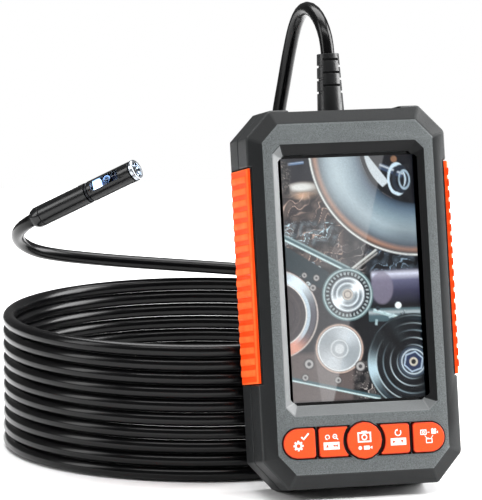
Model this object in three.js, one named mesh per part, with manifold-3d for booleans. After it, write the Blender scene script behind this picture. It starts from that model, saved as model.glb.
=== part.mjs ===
// Hand-held inspection camera: screen unit leaning back on its heel, coiled camera cable and probe.
// Millimetres, +Z up. The origin is the middle of the level heel that the unit stands on.
// The unit is designed upright: x to the right, y from the back plane (0) forwards (negative), z up.
import * as THREE from "three";
import { mergeVertices } from "three/addons/utils/BufferGeometryUtils.js";
import Module from "manifold-3d";

const wasm = await Module();
wasm.setup();

// ---- driving dimensions ----
const GAP = 0.3; // between pieces that touch
const LEAN = THREE.MathUtils.degToRad(12); // the unit leans back by this much
const HEEL_CUT = 1.0; // height of the wedge taken off the lower rear edge

const CASE_W = 80.6;
const CASE_H = 147.8;
const CASE_T = 29;
const CORNER_X = 10; // outer corner chamfers
const CORNER_TOP = 10.4;
const CORNER_BOTTOM = 11.4;
const RIM = 5.6; // width of the front bevel
const RIM_DEPTH = 2.7;
const BACK_EDGE = 1.6; // small bevel round the back
const WALL = 2.4;
const SPLIT_Y = -13; // plane where the two shells meet

const WELL_W = 61.3; // mouth of the screen well
const WELL_H = 105.6;
const WELL_Z = 81.3; // height of the screen's middle
const WELL_DEPTH = 2.6;
const WELL_CORNER = 3.4;
const SIGHT_W = 55.8; // opening at the foot of the well
const SIGHT_H = 97.4;
const SIGHT_CORNER = 2.6;
const LIP = 0.8; // lip that the window bears on
const WINDOW_T = 1.2;
const PANEL_T = 2.5;

const KEY_Z = 17.9; // row of keys
const KEY_H = 11.6;
const KEY_PROUD = 0.8;
const KEY_TRAVEL = 0.7;
const ROUND_KEY_R = 7.2;
const KEY_MIDDLE = 18.4;
const KEY_OUTER = 32.6;
const KEY_GAP = 0.35;
const KEY_WEB = 1.3; // between two neighbouring keys
const KEY_FLANGE = 0.5;

const GRIP_LOW = 42;
const GRIP_HIGH = 125.6;
const GRIP_PROUD = 1.2;
const GRIP_POCKET = 1.0;
const GRIP_BACK = -3;
const RIB_COUNT = 18;
const RIB_DEPTH = 0.5;

const DECK_W = 44; // inserts in the top and bottom recesses
const DECK_FRONT = -25;
const DECK_BACK = -4;
const DECK_T = 1.5;
const DECK_SUNK = 0.8;

const CABLE_D = 5.4;
const BOOT_X = -1;
const BOOT_Y = -11;
const BOOT_LENGTH = 23;
const BOOT_BASE_R = 5.3;
const BOOT_TIP_R = 4.35;

const COIL_X = -33.4;
const COIL_Y = 99;
const COIL_R = 79; // to the middle of the cable
const COIL_TURNS = 10;
const COIL_PITCH = 5.5;

const PROBE_R = 4.4;
const PROBE_LENGTH = 52.2;

// ---- finishes ----
const finish = (color, roughness, metalness = 0) =>
  new THREE.MeshStandardMaterial({ color, roughness, metalness });
const caseGrey = finish(0x55595b, 0.7);
const gripOrange = finish(0xff6a26, 0.6);
const keyOrange = finish(0xff5a1e, 0.5);
const blackRubber = finish(0x1c1d1f, 0.7);
const blackGloss = finish(0x0c0d0e, 0.25);
const clear = finish(0xdfe8ee, 0.05);
const glassBlack = finish(0x101418, 0.2);
const steel = finish(0x9a9da0, 0.35, 1);
const brass = finish(0xb08d4a, 0.4, 1);
const boardGreen = finish(0x1f5b3a, 0.6);
const batteryBlue = finish(0x27496d, 0.5);
const darkPlastic = finish(0x2b2e30, 0.6);
const lampWhite = finish(0xeaf4ff, 0.3);

// ---- solids ----
function solid(geometry) {
  const bare = geometry.clone();
  bare.deleteAttribute("normal");
  bare.deleteAttribute("uv");
  const merged = mergeVertices(bare, 1e-4);
  const vertProperties = new Float32Array(merged.attributes.position.array);
  const triVerts = new Uint32Array(merged.index.array);
  return new wasm.Manifold(new wasm.Mesh({ numProp: 3, vertProperties, triVerts }));
}

function geometryOf(shape) {
  const { vertProperties, triVerts } = shape.getMesh();
  const geometry = new THREE.BufferGeometry();
  geometry.setAttribute("position", new THREE.BufferAttribute(vertProperties, 3));
  geometry.setIndex(new THREE.BufferAttribute(triVerts, 1));
  geometry.computeVertexNormals();
  return geometry;
}

function cut(body, ...tools) {
  return tools.reduce((rest, tool) => rest.subtract(tool), body);
}

function join(first, ...others) {
  return others.reduce((sum, other) => sum.add(other), first);
}

function block([x0, x1], [y0, y1], [z0, z1]) {
  const box = new THREE.BoxGeometry(x1 - x0, y1 - y0, z1 - z0);
  return solid(box.translate((x0 + x1) / 2, (y0 + y1) / 2, (z0 + z1) / 2));
}

// A round bar along the y axis, from y0 to y1.
function barY(radius, x, z, [y0, y1], sides = 20) {
  const bar = new THREE.CylinderGeometry(radius, radius, y1 - y0, sides);
  return solid(bar.translate(x, (y0 + y1) / 2, z));
}

// A round bar or cone along the z axis, from z0 to z1.
function barZ(lowRadius, highRadius, x, y, [z0, z1], sides = 24) {
  const bar = new THREE.CylinderGeometry(highRadius, lowRadius, z1 - z0, sides).rotateX(Math.PI / 2);
  return solid(bar.translate(x, y, (z0 + z1) / 2));
}

// A rectangle in x and z with cut corners, centred on (0, middle).
function octagon(width, height, middle, cornerX, cornerTop, cornerBottom = cornerTop) {
  const right = width / 2;
  const top = middle + height / 2;
  const bottom = middle - height / 2;
  const outline = new THREE.Shape();
  outline.moveTo(-right + cornerX, bottom);
  outline.lineTo(right - cornerX, bottom);
  outline.lineTo(right, bottom + cornerBottom);
  outline.lineTo(right, top - cornerTop);
  outline.lineTo(right - cornerX, top);
  outline.lineTo(-right + cornerX, top);
  outline.lineTo(-right, top - cornerTop);
  outline.lineTo(-right, bottom + cornerBottom);
  outline.closePath();
  return outline;
}

// An outline in x and z given thickness between two y planes.
function slab(outline, [y0, y1], curveSegments = 8) {
  const depth = y1 - y0;
  const plate = new THREE.ExtrudeGeometry(outline, { depth, bevelEnabled: false, curveSegments });
  return solid(plate.rotateX(Math.PI / 2).translate(0, y1, 0));
}

// The same with both faces bevelled inwards by width over depth bevelDepth.
function bevelledSlab(outline, [y0, y1], width, bevelDepth) {
  const plate = new THREE.ExtrudeGeometry(outline, {
    depth: y1 - y0 - 2 * bevelDepth,
    bevelEnabled: true,
    bevelThickness: bevelDepth,
    bevelSize: width,
    bevelOffset: -width,
    bevelSegments: 1,
  });
  return solid(plate.rotateX(Math.PI / 2).translate(0, y1 - bevelDepth, 0));
}

// ---- the case ----
const FACE_Y = -CASE_T;
const WELL_FLOOR_Y = FACE_Y + WELL_DEPTH;
const LIP_BACK_Y = WELL_FLOOR_Y + LIP;
const WINDOW_Y = [LIP_BACK_Y + GAP, LIP_BACK_Y + GAP + WINDOW_T];
const PANEL_Y = [WINDOW_Y[1] + GAP, WINDOW_Y[1] + GAP + PANEL_T];
const FRAME_BACK_Y = PANEL_Y[1] + 2.4;
const BOARD_Y = [-16.4, -14.8];
const MIDDLE_Z = CASE_H / 2;
const FAR = 200;

const caseOutline = octagon(CASE_W, CASE_H, MIDDLE_Z, CORNER_X, CORNER_TOP, CORNER_BOTTOM);
const cavityOutline = octagon(CASE_W - 2 * WALL, CASE_H - 2 * WALL, MIDDLE_Z,
  CORNER_X - 1, CORNER_TOP - 1, CORNER_BOTTOM - 1);

const deckFoot = { z: [CASE_H - 6, CASE_H - 1], below: [1, 6] };
const deckRecess = DECK_SUNK + DECK_T + GAP;

function heelWedge() {
  const wedge = block([-FAR, FAR], [-FAR, FAR], [-FAR, 0]);
  const level = wedge.rotate([THREE.MathUtils.radToDeg(LEAN), 0, 0]);
  return level.translate([0, 0, HEEL_CUT / Math.cos(LEAN)]);
}

// The recesses of the top and bottom inserts, each a little larger than the insert.
function deckRecesses() {
  const x = [-DECK_W / 2, DECK_W / 2];
  const y = [DECK_FRONT, DECK_BACK];
  return join(
    block(x, y, [CASE_H - deckRecess, CASE_H + 1]),
    block(x, y, [-1, deckRecess]),
    block([x[0] - 1, x[1] + 1], [FACE_Y - 1, FACE_Y + RIM_DEPTH + 2], [CASE_H - DECK_SUNK, CASE_H + 1]),
  );
}

function deckFootings() {
  const x = [-DECK_W / 2 - 2, DECK_W / 2 + 2];
  const y = [DECK_FRONT - 1, DECK_BACK + 2];
  return join(block(x, y, deckFoot.z), block(x, y, deckFoot.below));
}

// Pockets for the side grips: along the side wall and round onto the front bevel.
function gripPockets() {
  const deep = CASE_W / 2 - GRIP_POCKET - GAP;
  const y = [FACE_Y + RIM_DEPTH - 0.6, GRIP_BACK + GAP];
  const z = [GRIP_LOW - GAP, GRIP_HIGH + GAP];
  return join(block([deep, FAR], y, z), block([-FAR, -deep], y, z));
}

const PORT_Y = [-20.6, -5.4];
const PORT_Z = [14.6, 38.6];
const PORT_DEPTH = 1.5;

function portPocket() {
  const x = [CASE_W / 2 - PORT_DEPTH - GAP, FAR];
  return block(x, [PORT_Y[0] - GAP, PORT_Y[1] + GAP], [PORT_Z[0] - GAP, PORT_Z[1] + GAP]);
}

const USB = { y: [-14.5, -11.3], z: [17.4, 26.4] };
const CARD = { y: [-14.5, -12.5], z: [28.2, 36.6] };

function portMouths() {
  const x = [CASE_W / 2 - 6, FAR];
  return join(block(x, USB.y, USB.z), block(x, [CARD.y[0], CARD.y[1] + 0.4], CARD.z));
}

const LOW_SCREW = [31.5, 8];
const HIGH_SCREW = [33.6, 132];
const SCREW_HOLE_R = 1.6;
const screwPlaces = [LOW_SCREW, HIGH_SCREW].flatMap(([x, z]) => [[-x, z], [x, z]]);

function glandHole() {
  return barZ(4.6, 4.6, BOOT_X, BOOT_Y, [CASE_H - 12, CASE_H + 2]);
}

function wholeCase() {
  const front = bevelledSlab(caseOutline, [FACE_Y, 10], RIM, RIM_DEPTH);
  const back = bevelledSlab(caseOutline, [FACE_Y - 10, 0], BACK_EDGE, BACK_EDGE);
  return front.intersect(back);
}

function wellCutter() {
  const mouth = octagon(WELL_W, WELL_H, WELL_Z, WELL_CORNER, WELL_CORNER);
  const slope = (WELL_H - SIGHT_H) / 2;
  const taper = bevelledSlab(mouth, [FACE_Y - 2 * WELL_DEPTH, WELL_FLOOR_Y], slope, WELL_DEPTH);
  const sight = slab(octagon(SIGHT_W, SIGHT_H, WELL_Z, SIGHT_CORNER, SIGHT_CORNER), [FACE_Y, LIP_BACK_Y + 1]);
  return join(taper, sight);
}

function windowRebate() {
  return block([-30.9, 30.9], [LIP_BACK_Y, SPLIT_Y + 1], [WELL_Z - 51.9, WELL_Z + 51.9]);
}

// ---- keys ----
function roundKey(grow) {
  const outline = new THREE.Shape();
  outline.absarc(0, KEY_Z, ROUND_KEY_R + grow, 0, 2 * Math.PI);
  return outline;
}

// A key beside the round one: its inner side is hollowed to follow it.
function innerKey(side, grow) {
  const half = KEY_H / 2 + grow;
  const hollow = ROUND_KEY_R + KEY_WEB - grow;
  const reach = Math.sqrt(hollow * hollow - half * half);
  const angle = Math.asin(half / hollow);
  const outline = new THREE.Shape();
  outline.moveTo(side * (KEY_MIDDLE + grow), KEY_Z - half);
  outline.lineTo(side * (KEY_MIDDLE + grow), KEY_Z + half);
  outline.lineTo(side * reach, KEY_Z + half);
  const from = side > 0 ? angle : Math.PI - angle;
  outline.absarc(0, KEY_Z, hollow, from, side > 0 ? -angle : Math.PI + angle, side > 0);
  outline.closePath();
  return outline;
}

// An end key: straight on the inside, round on the outside.
function endKey(side, grow) {
  const half = KEY_H / 2 + grow;
  const inner = KEY_MIDDLE + KEY_WEB - grow;
  const bend = KEY_OUTER - KEY_H / 2;
  const outline = new THREE.Shape();
  outline.moveTo(side * inner, KEY_Z - half);
  outline.lineTo(side * bend, KEY_Z - half);
  outline.absarc(side * bend, KEY_Z, half, -Math.PI / 2, Math.PI / 2, side < 0);
  outline.lineTo(side * inner, KEY_Z + half);
  outline.closePath();
  return outline;
}

const keys = [
  { name: "settings", x: -25.5, outline: (grow) => endKey(-1, grow) },
  { name: "zoom", x: -13.4, outline: (grow) => innerKey(-1, grow) },
  { name: "capture", x: 0, outline: (grow) => roundKey(grow) },
  { name: "rotate", x: 13.4, outline: (grow) => innerKey(1, grow) },
  { name: "gallery", x: 25.5, outline: (grow) => endKey(1, grow) },
];
const KEY_WALL_BACK = FACE_Y + WALL;
const STEM_R = 1.6;
const SWITCH_TOP = KEY_WALL_BACK + GAP + 1 + 0.6 + KEY_TRAVEL + GAP;
const KEY_BOARD_Y = [-19.4, -17.8];

function keyCap({ x, outline }) {
  const flangeY = [KEY_WALL_BACK + GAP, KEY_WALL_BACK + GAP + 1];
  const cap = slab(outline(0), [FACE_Y - KEY_PROUD, flangeY[1]]);
  const flange = slab(outline(KEY_FLANGE), flangeY);
  const stem = barY(STEM_R, x, KEY_Z, [flangeY[1] - 0.2, flangeY[1] + 0.6]);
  return join(cap, flange, stem);
}

function tactSwitch({ x }) {
  const body = block([x - 3, x + 3], [SWITCH_TOP + 0.8, KEY_BOARD_Y[0] - GAP], [KEY_Z - 3, KEY_Z + 3]);
  return join(body, barY(1.5, x, KEY_Z, [SWITCH_TOP, SWITCH_TOP + 1.2]));
}

// ---- shells ----
function screwHoles(radius) {
  return screwPlaces.map(([x, z]) => barY(radius, x, z, [-24, 1], 16));
}

function frontShell() {
  const half = block([-FAR, FAR], [-FAR, SPLIT_Y - GAP / 2], [-FAR, FAR]);
  const cavity = slab(cavityOutline, [FACE_Y + WALL, SPLIT_Y + 1]);
  const wellBack = LIP_BACK_Y + WINDOW_T + GAP;
  const wellWall = block([-33.2, 33.2], [FACE_Y + 1, wellBack], [WELL_Z - 54.6, WELL_Z + 54.6]);
  const bosses = screwPlaces.map(([x, z]) => barY(3, x, z, [FACE_Y + 1, SPLIT_Y - GAP / 2], 16));
  const skin = cut(wholeCase(), cavity);
  const walls = join(skin, wellWall, deckFootings(), ...bosses).intersect(half).intersect(wholeCase());
  const openings = keys.map(({ outline }) => slab(outline(KEY_GAP), [FACE_Y - 1, KEY_WALL_BACK + 0.1]));
  return cut(walls, wellCutter(), windowRebate(), gripPockets(), deckRecesses(), portPocket(), portMouths(),
    glandHole(), heelWedge(), ...screwHoles(SCREW_HOLE_R), ...openings);
}

const COVER = { x: [-24, 24], z: [40, 112] };
const COVER_T = 1.8;
const coverScrew = { x: 0, z: COVER.z[1] - 5 };

function coverSeat(grow) {
  const outer = block([COVER.x[0] - grow, COVER.x[1] + grow], [-COVER_T - grow, 1],
    [COVER.z[0] - grow, COVER.z[1] + grow]);
  const bay = block([COVER.x[0] + 3, COVER.x[1] - 3], [-6, 1], [COVER.z[0] + 3, COVER.z[1] - 10]);
  return join(outer, bay);
}

function rearShell() {
  const half = block([-FAR, FAR], [SPLIT_Y + GAP / 2, FAR], [-FAR, FAR]);
  const cavity = slab(cavityOutline, [-FAR, -WALL - 1.4]);
  const bosses = screwPlaces.map(([x, z]) => barY(4.4, x, z, [SPLIT_Y + GAP / 2, -1], 16));
  const heads = screwPlaces.map(([x, z]) => barY(2.9, x, z, [-3.2, 1], 16));
  const skin = cut(wholeCase(), cavity);
  const coverBoss = barY(3, coverScrew.x, coverScrew.z, [-6, -1], 16);
  const walls = join(skin, deckFootings(), coverBoss, ...bosses).intersect(half).intersect(wholeCase());
  return cut(walls, coverSeat(GAP), gripPockets(), deckRecesses(), portPocket(), portMouths(), glandHole(),
    heelWedge(), barY(1.35, coverScrew.x, coverScrew.z, [-7, 1], 16), ...heads, ...screwHoles(SCREW_HOLE_R));
}

const CASE_SCREW = { length: 18, headRadius: 2.5, headT: 1.6, shaftRadius: 1.25 };
const BOARD_SCREW = { length: 5, headRadius: 2.1, headT: 1.4, shaftRadius: 0.9 };
const COVER_SCREW = { length: 5, headRadius: 2.1, headT: 0.8, shaftRadius: 1 };

// A cross-head screw that points towards -y, its head at y = head.
function screw(x, z, head, { length, headRadius, headT, shaftRadius }) {
  const top = barY(headRadius, x, z, [head - headT, head], 16);
  const shaft = barY(shaftRadius, x, z, [head - length, head - headT / 2], 12);
  const reach = headRadius * 0.66;
  const driven = [head - headT * 0.45, head + 1];
  const slot = block([x - reach, x + reach], driven, [z - 0.3, z + 0.3]);
  const across = block([x - 0.3, x + 0.3], driven, [z - reach, z + reach]);
  return cut(join(top, shaft), slot, across);
}

// ---- grips ----
// The ribbed outline of a grip, seen along y, for the side where x is positive.
function gripOutline() {
  const outline = new THREE.Shape();
  const inner = CASE_W / 2 - GRIP_POCKET;
  const outer = CASE_W / 2 + GRIP_PROUD;
  const pitch = (GRIP_HIGH - GRIP_LOW - 4) / RIB_COUNT;
  outline.moveTo(inner, GRIP_LOW);
  outline.lineTo(outer - 1, GRIP_LOW);
  outline.lineTo(outer, GRIP_LOW + 1.4);
  for (let rib = 0; rib < RIB_COUNT; rib += 1) {
    const low = GRIP_LOW + 2 + rib * pitch;
    outline.lineTo(outer, low + pitch * 0.1);
    outline.lineTo(outer - RIB_DEPTH, low + pitch * 0.3);
    outline.lineTo(outer - RIB_DEPTH, low + pitch * 0.7);
    outline.lineTo(outer, low + pitch * 0.9);
  }
  outline.lineTo(outer, GRIP_HIGH - 1.4);
  outline.lineTo(outer - 1, GRIP_HIGH);
  outline.lineTo(inner, GRIP_HIGH);
  outline.closePath();
  return outline;
}

function grip(side) {
  const ribbed = slab(gripOutline(), [FACE_Y + RIM_DEPTH - 0.3, GRIP_BACK]);
  return side > 0 ? ribbed : ribbed.mirror([1, 0, 0]);
}

// ---- screen stack and electronics ----
function plate(width, height, middle, y) {
  return block([-width / 2, width / 2], y, [middle - height / 2, middle + height / 2]);
}

function gasket() {
  const through = [WINDOW_Y[0] - 1, WINDOW_Y[1] + 1];
  return cut(plate(61.2, 103.2, WELL_Z, WINDOW_Y), plate(59.8, 101.8, WELL_Z, through));
}

function lcdFrame() {
  const tray = plate(60.4, 105, WELL_Z, [PANEL_Y[0] + 0.1, FRAME_BACK_Y]);
  const pocket = plate(57.6, 99.6, WELL_Z, [PANEL_Y[0] - 1, PANEL_Y[1] + GAP]);
  const through = [PANEL_Y[0], FRAME_BACK_Y + 1];
  const lightening = [-26, 0, 26].flatMap((z) => [-12, 12].map((x) =>
    block([x - 9, x + 9], through, [WELL_Z + z - 9, WELL_Z + z + 9])));
  const pilots = boardScrews.map(([x, z]) => barY(1.2, x, z, [FRAME_BACK_Y - 1.6, FRAME_BACK_Y + 1], 12));
  return cut(tray, pocket, ...lightening, ...pilots);
}

const boardScrews = [[-26.8, WELL_Z + 41], [26.8, WELL_Z - 41]];
const chips = [
  { x: [-14, 0], z: [92, 106] },
  { x: [5, 15], z: [94, 104] },
  { x: [-16, -6], z: [62, 74] },
  { x: [0, 12], z: [58, 66] },
];

function mainBoard() {
  const board = block([-30, 30], BOARD_Y, [13.5, 127.5]);
  const parts = chips.map(({ x, z }) => block(x, [BOARD_Y[1] - 0.2, BOARD_Y[1] + 1.1], z));
  const holes = boardScrews.map(([x, z]) => barY(1.5, x, z, [BOARD_Y[0] - 1, BOARD_Y[1] + 1], 12));
  return cut(join(board, ...parts), ...holes);
}

function keyBoard() {
  return block([-31, 31], KEY_BOARD_Y, [11.5, 25.3]);
}

function usbPort() {
  const shell = block([28, 37.8], [USB.y[0] + GAP, USB.y[1] - GAP], [USB.z[0] + GAP, USB.z[1] - GAP]);
  const mouth = block([30, FAR], [USB.y[0] + 0.7, USB.y[1] - 0.7], [USB.z[0] + 0.8, USB.z[1] - 0.8]);
  const tongue = block([29, 36.5], [-13.2, -12.6], [USB.z[0] + 2.4, USB.z[1] - 2.4]);
  return join(cut(shell, mouth), tongue);
}

function cardSocket() {
  const shell = block([24, 37.8], [CARD.y[0] + GAP, CARD.y[1]], [CARD.z[0] + GAP, CARD.z[1] - GAP]);
  const mouth = block([25, FAR], [CARD.y[0] + 0.7, CARD.y[1] - 0.4], [CARD.z[0] + 0.9, CARD.z[1] - 0.9]);
  return cut(shell, mouth);
}

function portCover() {
  const flap = block([CASE_W / 2 - PORT_DEPTH, CASE_W / 2], PORT_Y, PORT_Z);
  const pull = block([CASE_W / 2 - 0.2, CASE_W / 2 + 0.5], [PORT_Y[0], PORT_Y[0] + 1.6],
    [PORT_Z[0] + 7, PORT_Z[1] - 7]);
  const relief = block([CASE_W / 2 - 0.4, FAR], [PORT_Y[1] - 2.2, PORT_Y[1] - 1.5], [-FAR, FAR]);
  return cut(join(flap, pull), relief);
}

function batteryPack() {
  return block([-20.5, 20.5], [-11.6, -6.3], [COVER.z[0] + 2, COVER.z[1] - 12]);
}

function batteryCover() {
  const leaf = block(COVER.x, [-COVER_T, 0], COVER.z);
  const ribs = [0, 1, 2, 3, 4].map((row) =>
    block([-12, 12], [-0.4, 1], [COVER.z[0] + 5 + row * 3, COVER.z[0] + 6.4 + row * 3]));
  const head = barY(2.5, coverScrew.x, coverScrew.z, [-1.2, 1], 16);
  const hole = barY(1.35, coverScrew.x, coverScrew.z, [-4, 1], 16);
  return cut(leaf, head, hole, ...ribs);
}

// ---- inserts, gland and boot ----
const DECK_TOP = CASE_H - DECK_SUNK;

function deck(z) {
  return block([-DECK_W / 2 + GAP, DECK_W / 2 - GAP], [DECK_FRONT + GAP, DECK_BACK - GAP], z);
}

function topPlate() {
  return cut(deck([DECK_TOP - DECK_T, DECK_TOP]), barZ(4.2, 4.2, BOOT_X, BOOT_Y, [130, 160]));
}

function bottomPlate() {
  return cut(deck([DECK_SUNK, DECK_SUNK + DECK_T]), heelWedge());
}

function tube(outerLow, outerHigh, inner, [z0, z1], sides = 24) {
  const body = barZ(outerLow, outerHigh, BOOT_X, BOOT_Y, [z0, z1], sides);
  return cut(body, barZ(inner, inner, BOOT_X, BOOT_Y, [z0 - 1, z1 + 1]));
}

function glandNut() {
  return tube(6.4, 6.4, 4.2, [CASE_H - 10.2, CASE_H - 6.6], 6);
}

// Slots leave two spines, at the sides or at front and back by turns.
function strainRelief() {
  const base = DECK_TOP + GAP;
  const body = tube(BOOT_BASE_R, BOOT_TIP_R, CABLE_D / 2 + GAP, [base, base + BOOT_LENGTH], 32);
  const slots = [];
  for (let row = 0; row < 6; row += 1) {
    const z = base + 7.4 + row * 2.55;
    const across = row % 2 === 0;
    for (const side of [-1, 1]) {
      const near = side * 3.1;
      const far = side * 8;
      const span = [Math.min(near, far), Math.max(near, far)];
      const x = across ? [BOOT_X + span[0], BOOT_X + span[1]] : [BOOT_X - 3.4, BOOT_X + 3.4];
      const y = across ? [BOOT_Y - 3.4, BOOT_Y + 3.4] : [BOOT_Y + span[0], BOOT_Y + span[1]];
      slots.push(block(x, y, [z, z + 0.9]));
    }
  }
  return cut(body, ...slots);
}

// ---- probe, along +z from the cable end, its side window facing +x ----
function turned(profile, sides = 28) {
  const points = profile.map(([radius, z]) => new THREE.Vector2(radius, z));
  return solid(new THREE.LatheGeometry(points, sides).rotateX(Math.PI / 2));
}

function ringPiece(outer, inner, z0, z1, edge = 0) {
  const profile = [[inner, z0], [outer - edge, z0], [outer, z0 + edge], [outer, z1 - edge],
    [outer - edge, z1], [inner, z1], [inner, z0]];
  const repeats = ([radius, z], index) => {
    const [lastRadius, lastZ] = profile[Math.max(index - 1, 0)];
    return index > 0 && radius === lastRadius && z === lastZ;
  };
  return turned(profile.filter((point, index) => !repeats(point, index)));
}

const CABLE_BORE = CABLE_D / 2 + GAP;
const PROBE_WALL = 0.9;
const CAP_END = 4.4;
const BARREL_END = 27.6;
const HEAD_START = 29.4;
const HEAD_END = 50;
const WELL_START = HEAD_START + 2.4;
const WELL_END = HEAD_END - 5.6;

function probeCap() {
  return turned([[CABLE_BORE, 0], [3.6, 0], [PROBE_R, 1.8], [PROBE_R, CAP_END], [CABLE_BORE, CAP_END],
    [CABLE_BORE, 0]]);
}

function probeHead() {
  const shell = ringPiece(PROBE_R, PROBE_R - PROBE_WALL, HEAD_START, HEAD_END);
  const flat = block([PROBE_R - 0.8, 9], [-2.7, 2.7], [WELL_START - 0.6, WELL_END + 0.6]);
  const well = block([1, 9], [-2.2, 2.2], [WELL_START, WELL_END]);
  return cut(shell, flat, well);
}

function sideWindow() {
  return block([PROBE_R - 0.5, PROBE_R], [-2.4, 2.4], [WELL_START - 0.3, WELL_END + 0.3])
    .intersect(turned([[0, 20], [PROBE_R - 0.05, 20], [PROBE_R - 0.05, 60], [0, 60]]));
}

// ---- cable ----
const COIL_TOP = COIL_TURNS * COIL_PITCH;
const CABLE_R = CABLE_D / 2;

// Where the loop runs: out of the boot, over, down behind the unit and into the coil on the floor.
const LOOP_ROUTE = [
  [-1, 27, 168.2], [-1.3, 29, 174.2], [-1.9, 33.8, 179.6], [-2.6, 41, 183], [-3.3, 48.8, 183.6],
  [-3.9, 56, 181], [-4.6, 62.2, 174.6], [-5.6, 66.8, 164], [-7, 70, 150.7], [-8.6, 71.8, 138],
  [-10, 72.4, 118],
  [-9.6, 72.4, 94], [-8.4, 72, 70], [-6, 71, 47], [-1.6, 70.4, 28], [6, 71.4, 13.4], [16.4, 76, 5],
  [26.2, 84.6, 2.9], [33.2, 95.4, 2.8],
];

// Where the tail runs: off the top turn at the far side, out to the left, round and up into the probe.
const TAIL_ROUTE = [
  [35.7, 137.3, 58.1], [22.5, 154.9, 58.2], [6.1, 167.4, 58.6], [-13, 175.3, 59.6], [-31.4, 177.9, 61.2],
  [-48, 177.6, 63.1], [-62.6, 176.6, 65.1], [-75.6, 174.8, 67.3], [-85.2, 171.8, 69.8], [-92, 167, 73.2],
  [-96.6, 160.4, 77.4], [-98.2, 152.6, 81.6], [-97.4, 145.6, 85.3], [-94.8, 140, 88.5],
];

function cableTube(route, steps) {
  const points = route.map((point) => new THREE.Vector3(...point));
  const path = new THREE.CatmullRomCurve3(points, false, "centripetal");
  const section = new THREE.Shape();
  for (let corner = 0; corner < 10; corner += 1) {
    const angle = (corner / 10) * 2 * Math.PI;
    const place = [CABLE_R * Math.cos(angle), CABLE_R * Math.sin(angle)];
    if (corner === 0) section.moveTo(...place);
    else section.lineTo(...place);
  }
  section.closePath();
  return new THREE.ExtrudeGeometry(section, { extrudePath: path, steps, bevelEnabled: false });
}

function coilRing() {
  const inner = COIL_R - CABLE_R;
  const outer = COIL_R + CABLE_R;
  const profile = [[inner, 0], [outer, 0], [outer, COIL_TOP], [inner, COIL_TOP], [inner, 0]];
  return turned(profile, 72).translate([COIL_X, COIL_Y, 0]);
}

// ---- assembly ----
const assembly = new THREE.Group();
const unit = new THREE.Group();
const probe = new THREE.Group();
assembly.add(unit, probe);

function place(parent, name, shape, material) {
  const geometry = shape.isBufferGeometry ? shape : geometryOf(shape);
  const mesh = new THREE.Mesh(geometry, material);
  mesh.name = name;
  parent.add(mesh);
}

function addCase() {
  place(unit, "front_shell", frontShell(), caseGrey);
  place(unit, "rear_shell", rearShell(), caseGrey);
  place(unit, "left_grip", grip(-1), gripOrange);
  place(unit, "right_grip", grip(1), gripOrange);
  place(unit, "top_plate", topPlate(), caseGrey);
  place(unit, "bottom_plate", bottomPlate(), caseGrey);
  place(unit, "port_cover", portCover(), blackRubber);
  screwPlaces.forEach(([x, z], index) => {
    place(unit, `case_screw_${index + 1}`, screw(x, z, -0.9, CASE_SCREW), steel);
  });
}

function addScreen() {
  place(unit, "screen_window", plate(59.2, 101.2, WELL_Z, WINDOW_Y), clear);
  place(unit, "window_gasket", gasket(), blackRubber);
  place(unit, "lcd_panel", plate(57, 99, WELL_Z, PANEL_Y), glassBlack);
  place(unit, "lcd_frame", lcdFrame(), darkPlastic);
}

function addKeys() {
  for (const key of keys) {
    place(unit, `button_${key.name}`, keyCap(key), keyOrange);
    place(unit, `switch_${key.name}`, tactSwitch(key), darkPlastic);
  }
  place(unit, "key_board", keyBoard(), boardGreen);
}

function addElectronics() {
  place(unit, "main_board", mainBoard(), boardGreen);
  boardScrews.forEach(([x, z], index) => {
    const head = BOARD_Y[1] + GAP + BOARD_SCREW.headT;
    place(unit, `board_screw_${index + 1}`, screw(x, z, head, BOARD_SCREW), steel);
  });
  place(unit, "usb_port", usbPort(), steel);
  place(unit, "card_socket", cardSocket(), steel);
  place(unit, "battery_pack", batteryPack(), batteryBlue);
  place(unit, "battery_cover", batteryCover(), caseGrey);
  place(unit, "battery_cover_screw", screw(coverScrew.x, coverScrew.z, -0.1, COVER_SCREW), steel);
}

function addGland() {
  place(unit, "gland_body", tube(3.9, 3.9, CABLE_BORE, [CASE_H - 12.6, DECK_TOP - 0.1]), brass);
  place(unit, "gland_nut", glandNut(), brass);
  place(unit, "strain_relief", strainRelief(), blackRubber);
}

function addProbe() {
  place(probe, "probe_cap", probeCap(), blackGloss);
  place(probe, "probe_barrel", ringPiece(PROBE_R, PROBE_R - PROBE_WALL, CAP_END + GAP, BARREL_END),
    blackGloss);
  const ring = ringPiece(PROBE_R - 0.15, PROBE_R - PROBE_WALL, BARREL_END + GAP, HEAD_START - GAP, 0.2);
  place(probe, "probe_ring", ring, steel);
  place(probe, "probe_head", probeHead(), blackGloss);
  place(probe, "side_window", sideWindow(), clear);
  place(probe, "side_led", block([1.6, 3.2], [-1.9, 1.9], [WELL_START + 0.4, WELL_START + 3.8]), lampWhite);
  place(probe, "side_lens", barZ(1.6, 1.6, 0, 0, [1.6, 3.4], 20).rotate([0, 90, 0])
    .translate([0, 0, WELL_START + 7.4]), blackGloss);
  place(probe, "side_board", block([0.5, 1.3], [-2.7, 2.7], [WELL_START - 0.8, WELL_END + 0.8]), boardGreen);
  place(probe, "probe_bezel", ringPiece(PROBE_R, 3, HEAD_END + GAP, PROBE_LENGTH, 0.4), steel);
  place(probe, "front_window", barZ(2.7, 2.7, 0, 0, [PROBE_LENGTH - 1, PROBE_LENGTH - 0.4]), clear);
  place(probe, "led_board", ringPiece(2.7, 1.7, PROBE_LENGTH - 2.2, PROBE_LENGTH - 1.3), lampWhite);
  place(probe, "front_lens", barZ(1.4, 1.4, 0, 0, [PROBE_LENGTH - 5.4, PROBE_LENGTH - 1.3], 20), blackGloss);
}

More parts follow.
